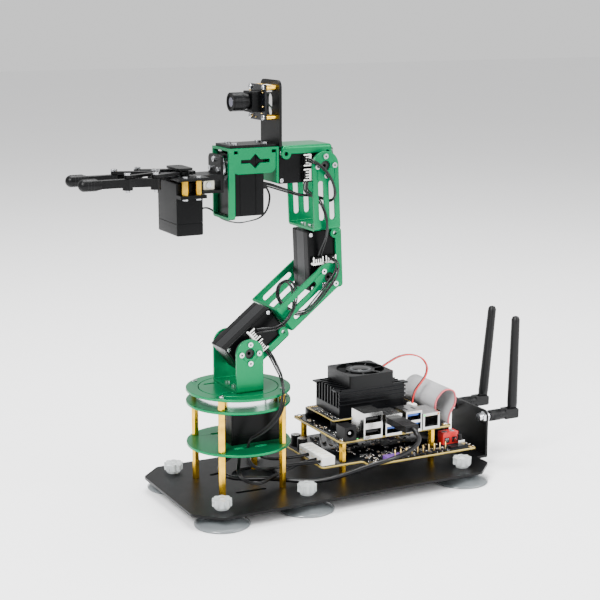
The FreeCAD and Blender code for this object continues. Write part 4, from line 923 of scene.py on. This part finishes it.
# fan: hub label, and screws in the corners
FAN_X, FAN_Y = 119, 25.7
FAN_SCREW = 16
kit = Kit()
kit.disc(8.4, 0.16, (FAN_X, FAN_Y, 79.75), index=0, sides=48)
kit.disc(6.6, 0.2, (FAN_X, FAN_Y, 79.75), index=1, sides=48)
kit.done("fan_label", "fan", [GREY, SERVO_TOP], 0.0)
kit = Kit()
for x in (FAN_X - FAN_SCREW, FAN_X + FAN_SCREW):
    for y in (FAN_Y - FAN_SCREW, FAN_Y + FAN_SCREW):
        kit.disc(2.5, 0.5, (x, y, 79.65), index=0, sides=24)
        # the cross in each screw head is painted shade
        kit.block((3.4, 0.55, 0.12), (x - 1.7, y - 0.27, 80.08), 1)
        kit.block((0.55, 3.4, 0.12), (x - 0.27, y - 1.7, 80.08), 1)
kit.done("fan_screws", "base", [SERVO_TOP, SHADE_AND_BLACK], 0.0001)

# ------------------------------------------------------------------ camera

LENS_Z = 296.8
HOLDER_HALF = 8.3
GRIP_RIDGES = 36
kit = Kit()
kit.disc(5.1, 0.5, (-3.55, 0, LENS_Z), "X", 1, 40)
kit.disc(3.3, 0.2, (-3.7, 0, LENS_Z), "X", 0, 40)
for step in range(6):
    kit.disc(6.86, 0.35, (-2.4 + 1.05 * step, 0, LENS_Z), "X", 2, 48)
for step in range(GRIP_RIDGES):
    angle = 2 * math.pi * step / GRIP_RIDGES
    y, z = 6.7 * math.cos(angle), LENS_Z + 6.7 * math.sin(angle)
    kit.block((2.2, 0.35, 0.35), (3.2, y - 0.17, z - 0.17), 2, Euler((angle, 0, 0)))
kit.done("camera_glass_and_rings", "wrist", [GLASS, SERVO, SERVO_TOP], 0.00008)
kit = Kit()
for y, z in ((-10.5, 285.8), (10.5, 285.8), (-10.5, 306.8), (10.5, 306.8)):
    kit.disc(2.0, 1.0, (16.1, y, z), "X", STEEL_I, 20)
    # the slot in each screw head is painted shade
    kit.block((0.1, 2.4, 0.45), (16.02, y - 1.2, z - 0.22), PAINTED_SHADE_I)
for _ in range(34):
    y, z = rng.uniform(-11.5, 11.5), rng.uniform(285, 306)
    if abs(y) < HOLDER_HALF and abs(z - LENS_Z) < HOLDER_HALF:
        continue
    kit.block((0.6, 1.2, 0.7), (16.45, y, z), rng.choice((CERAMIC_I, CHIP_I, GOLD_I)))
for _ in range(16):
    y, z = rng.uniform(-11.5, 10), rng.uniform(286, 301)
    kit.block((0.6, 1.4, 0.8), (18.6, y, z), rng.choice((CERAMIC_I, CHIP_I, NICKEL_I)))
kit.block((0.9, 7, 7), (18.6, -3.5, 289.5), CHIP_I)
kit.done("camera_small_parts", "wrist", SMALL, 0.0)

# ------------------------------------------------------------------ gripper and hand

kit = Kit()
# the crosses and the six-sided socket in the screw heads are painted shade
for x in (-48, -38):
    for y in (-19.5, 23.5):
        kit.block((2.4, 0.45, 0.12), (x - 1.2, y - 0.22, 248.04), 0)
        kit.block((0.45, 2.4, 0.12), (x - 0.22, y - 1.2, 248.04), 0)
for y in (-2.8, 2.8):
    kit.block((2.6, 0.45, 0.12), (-63.3, y - 0.22, 251.94), 0)
    kit.block((0.45, 2.6, 0.12), (-62.22, y - 1.3, 251.94), 0)
for turn in range(6):
    angle = math.pi / 3 * turn
    spot = (-43 + 1.1 * math.cos(angle) - 0.75, 7 + 1.1 * math.sin(angle) - 0.15, 252.64)
    kit.block((1.5, 0.3, 0.14), spot, 0, Euler((0, 0, angle)))
kit.done("hand_screw_crosses", "hand", [SHADE_AND_BLACK], 0.0)
kit = Kit()
kit.block((8.5, 15, 6.7), (-29, -7.5, 236.15), 0)
kit.disc(2.2, 0.6, (-25, -8.0, 239.5), "Y", 1, 24)
kit.done("hand_spacer_block", "hand", [CREAM, STEEL], 0.0004)

for side, body in ((-1, "near_jaw"), (1, "far_jaw")):
    kit = Kit()
    for x, y in ((-68.96, 17.49), (-87.96, 13.29)):
        kit.disc(1.35, 0.25, (x, side * y, 251.9), index=1, sides=24)
        # the cross in each screw head is painted shade
        kit.block((2.5, 0.42, 0.1), (x - 1.25, side * y - 0.21, 252.12), 0)
        kit.block((0.42, 2.5, 0.1), (x - 0.21, side * y - 1.25, 252.12), 0)
    for step in range(3):
        kit.disc(4.36, 0.4, (-117.6 + 2.1 * step, side * 13.5, 245.4), "X", 2, 32)
    kit.done(f"{body}_details", body, [SHADE_AND_BLACK, STEEL, RUBBER], 0.00006)

# ------------------------------------------------------------------ antennas and base

ANTENNA_Z = 40.5
KNURLS = 28
KNURL_RING = 4.35
kit = Kit()
for y in (-21, 21):
    for step in range(KNURLS):
        angle = 2 * math.pi * step / KNURLS
        spot = (212.2, y + KNURL_RING * math.cos(angle) - 0.22,
                ANTENNA_Z + KNURL_RING * math.sin(angle) - 0.22)
        kit.block((9.2, 0.42, 0.42), spot, 0, Euler((angle, 0, 0)))
    kit.disc(3.4, 0.7, (208.6, y, ANTENNA_Z), "X", 1, 32)
kit.done("antenna_collars", "base", [SERVO_TOP, GOLD], 0.0)

kit = Kit()
for x in (-34.45, 34.2, 170.5):
    for y in (-45.5, 45.5):
        kit.disc(2.4, 0.5, (x, y, 18.9), index=0, sides=20)
        kit.dome(2.3, (x, y, 18.9), 0.35, 0)
kit.done("knob_stud_ends", "base", [KNOB], 0.0)

# ------------------------------------------------------------------ studio

floor_mesh = bpy.data.meshes.new("floor")
floor_mesh.from_pydata([(-6, -6, 0), (6, -6, 0), (6, 6, 0), (-6, 6, 0)], [], [(0, 1, 2, 3)])
PAPER = shader("floor_paper", (0.93, 0.93, 0.935), 0.75, 0.0, spread=0.004, bump=0.0, scale=4,
               specular=0.15)
floor_mesh.materials.append(PAPER)
floor = bpy.data.objects.new("floor", floor_mesh)
bpy.context.scene.collection.objects.link(floor)
floor.location.z = -0.0002

world = bpy.data.worlds.new("studio")
bpy.context.scene.world = world
world.use_nodes = True
world.node_tree.nodes["Background"].inputs["Color"].default_value = (1.0, 1.0, 1.0, 1)
world.node_tree.nodes["Background"].inputs["Strength"].default_value = 0.95


def lamp(name, place, aim, size, power):
    light = bpy.data.lights.new(name, "AREA")
    light.energy = power
    light.size = size
    obj = bpy.data.objects.new(name, light)
    bpy.context.scene.collection.objects.link(obj)
    obj.location = place
    obj.rotation_euler = (Vector(aim) - Vector(place)).to_track_quat("-Z", "Y").to_euler()


lamp("key", (-0.9, -0.7, 1.1), (0.05, 0, 0.15), 0.6, 46)
lamp("fill", (0.9, -0.9, 0.7), (0.1, 0, 0.1), 0.9, 20)
lamp("top", (0.1, 0.2, 1.4), (0.08, 0, 0.1), 0.8, 38)

camera = bpy.data.cameras.new("camera")
camera.lens = 86.12
camera.sensor_width = 36
camera.clip_start = 0.01
camera_object = bpy.data.objects.new("camera", camera)
bpy.context.scene.collection.objects.link(camera_object)
camera_object.location = (-0.43090, -0.93743, 0.37239)
aim = Vector((0.051775, 0, 0.147232)) - camera_object.location
camera_object.rotation_euler = aim.to_track_quat("-Z", "Y").to_euler()
bpy.context.scene.camera = camera_object
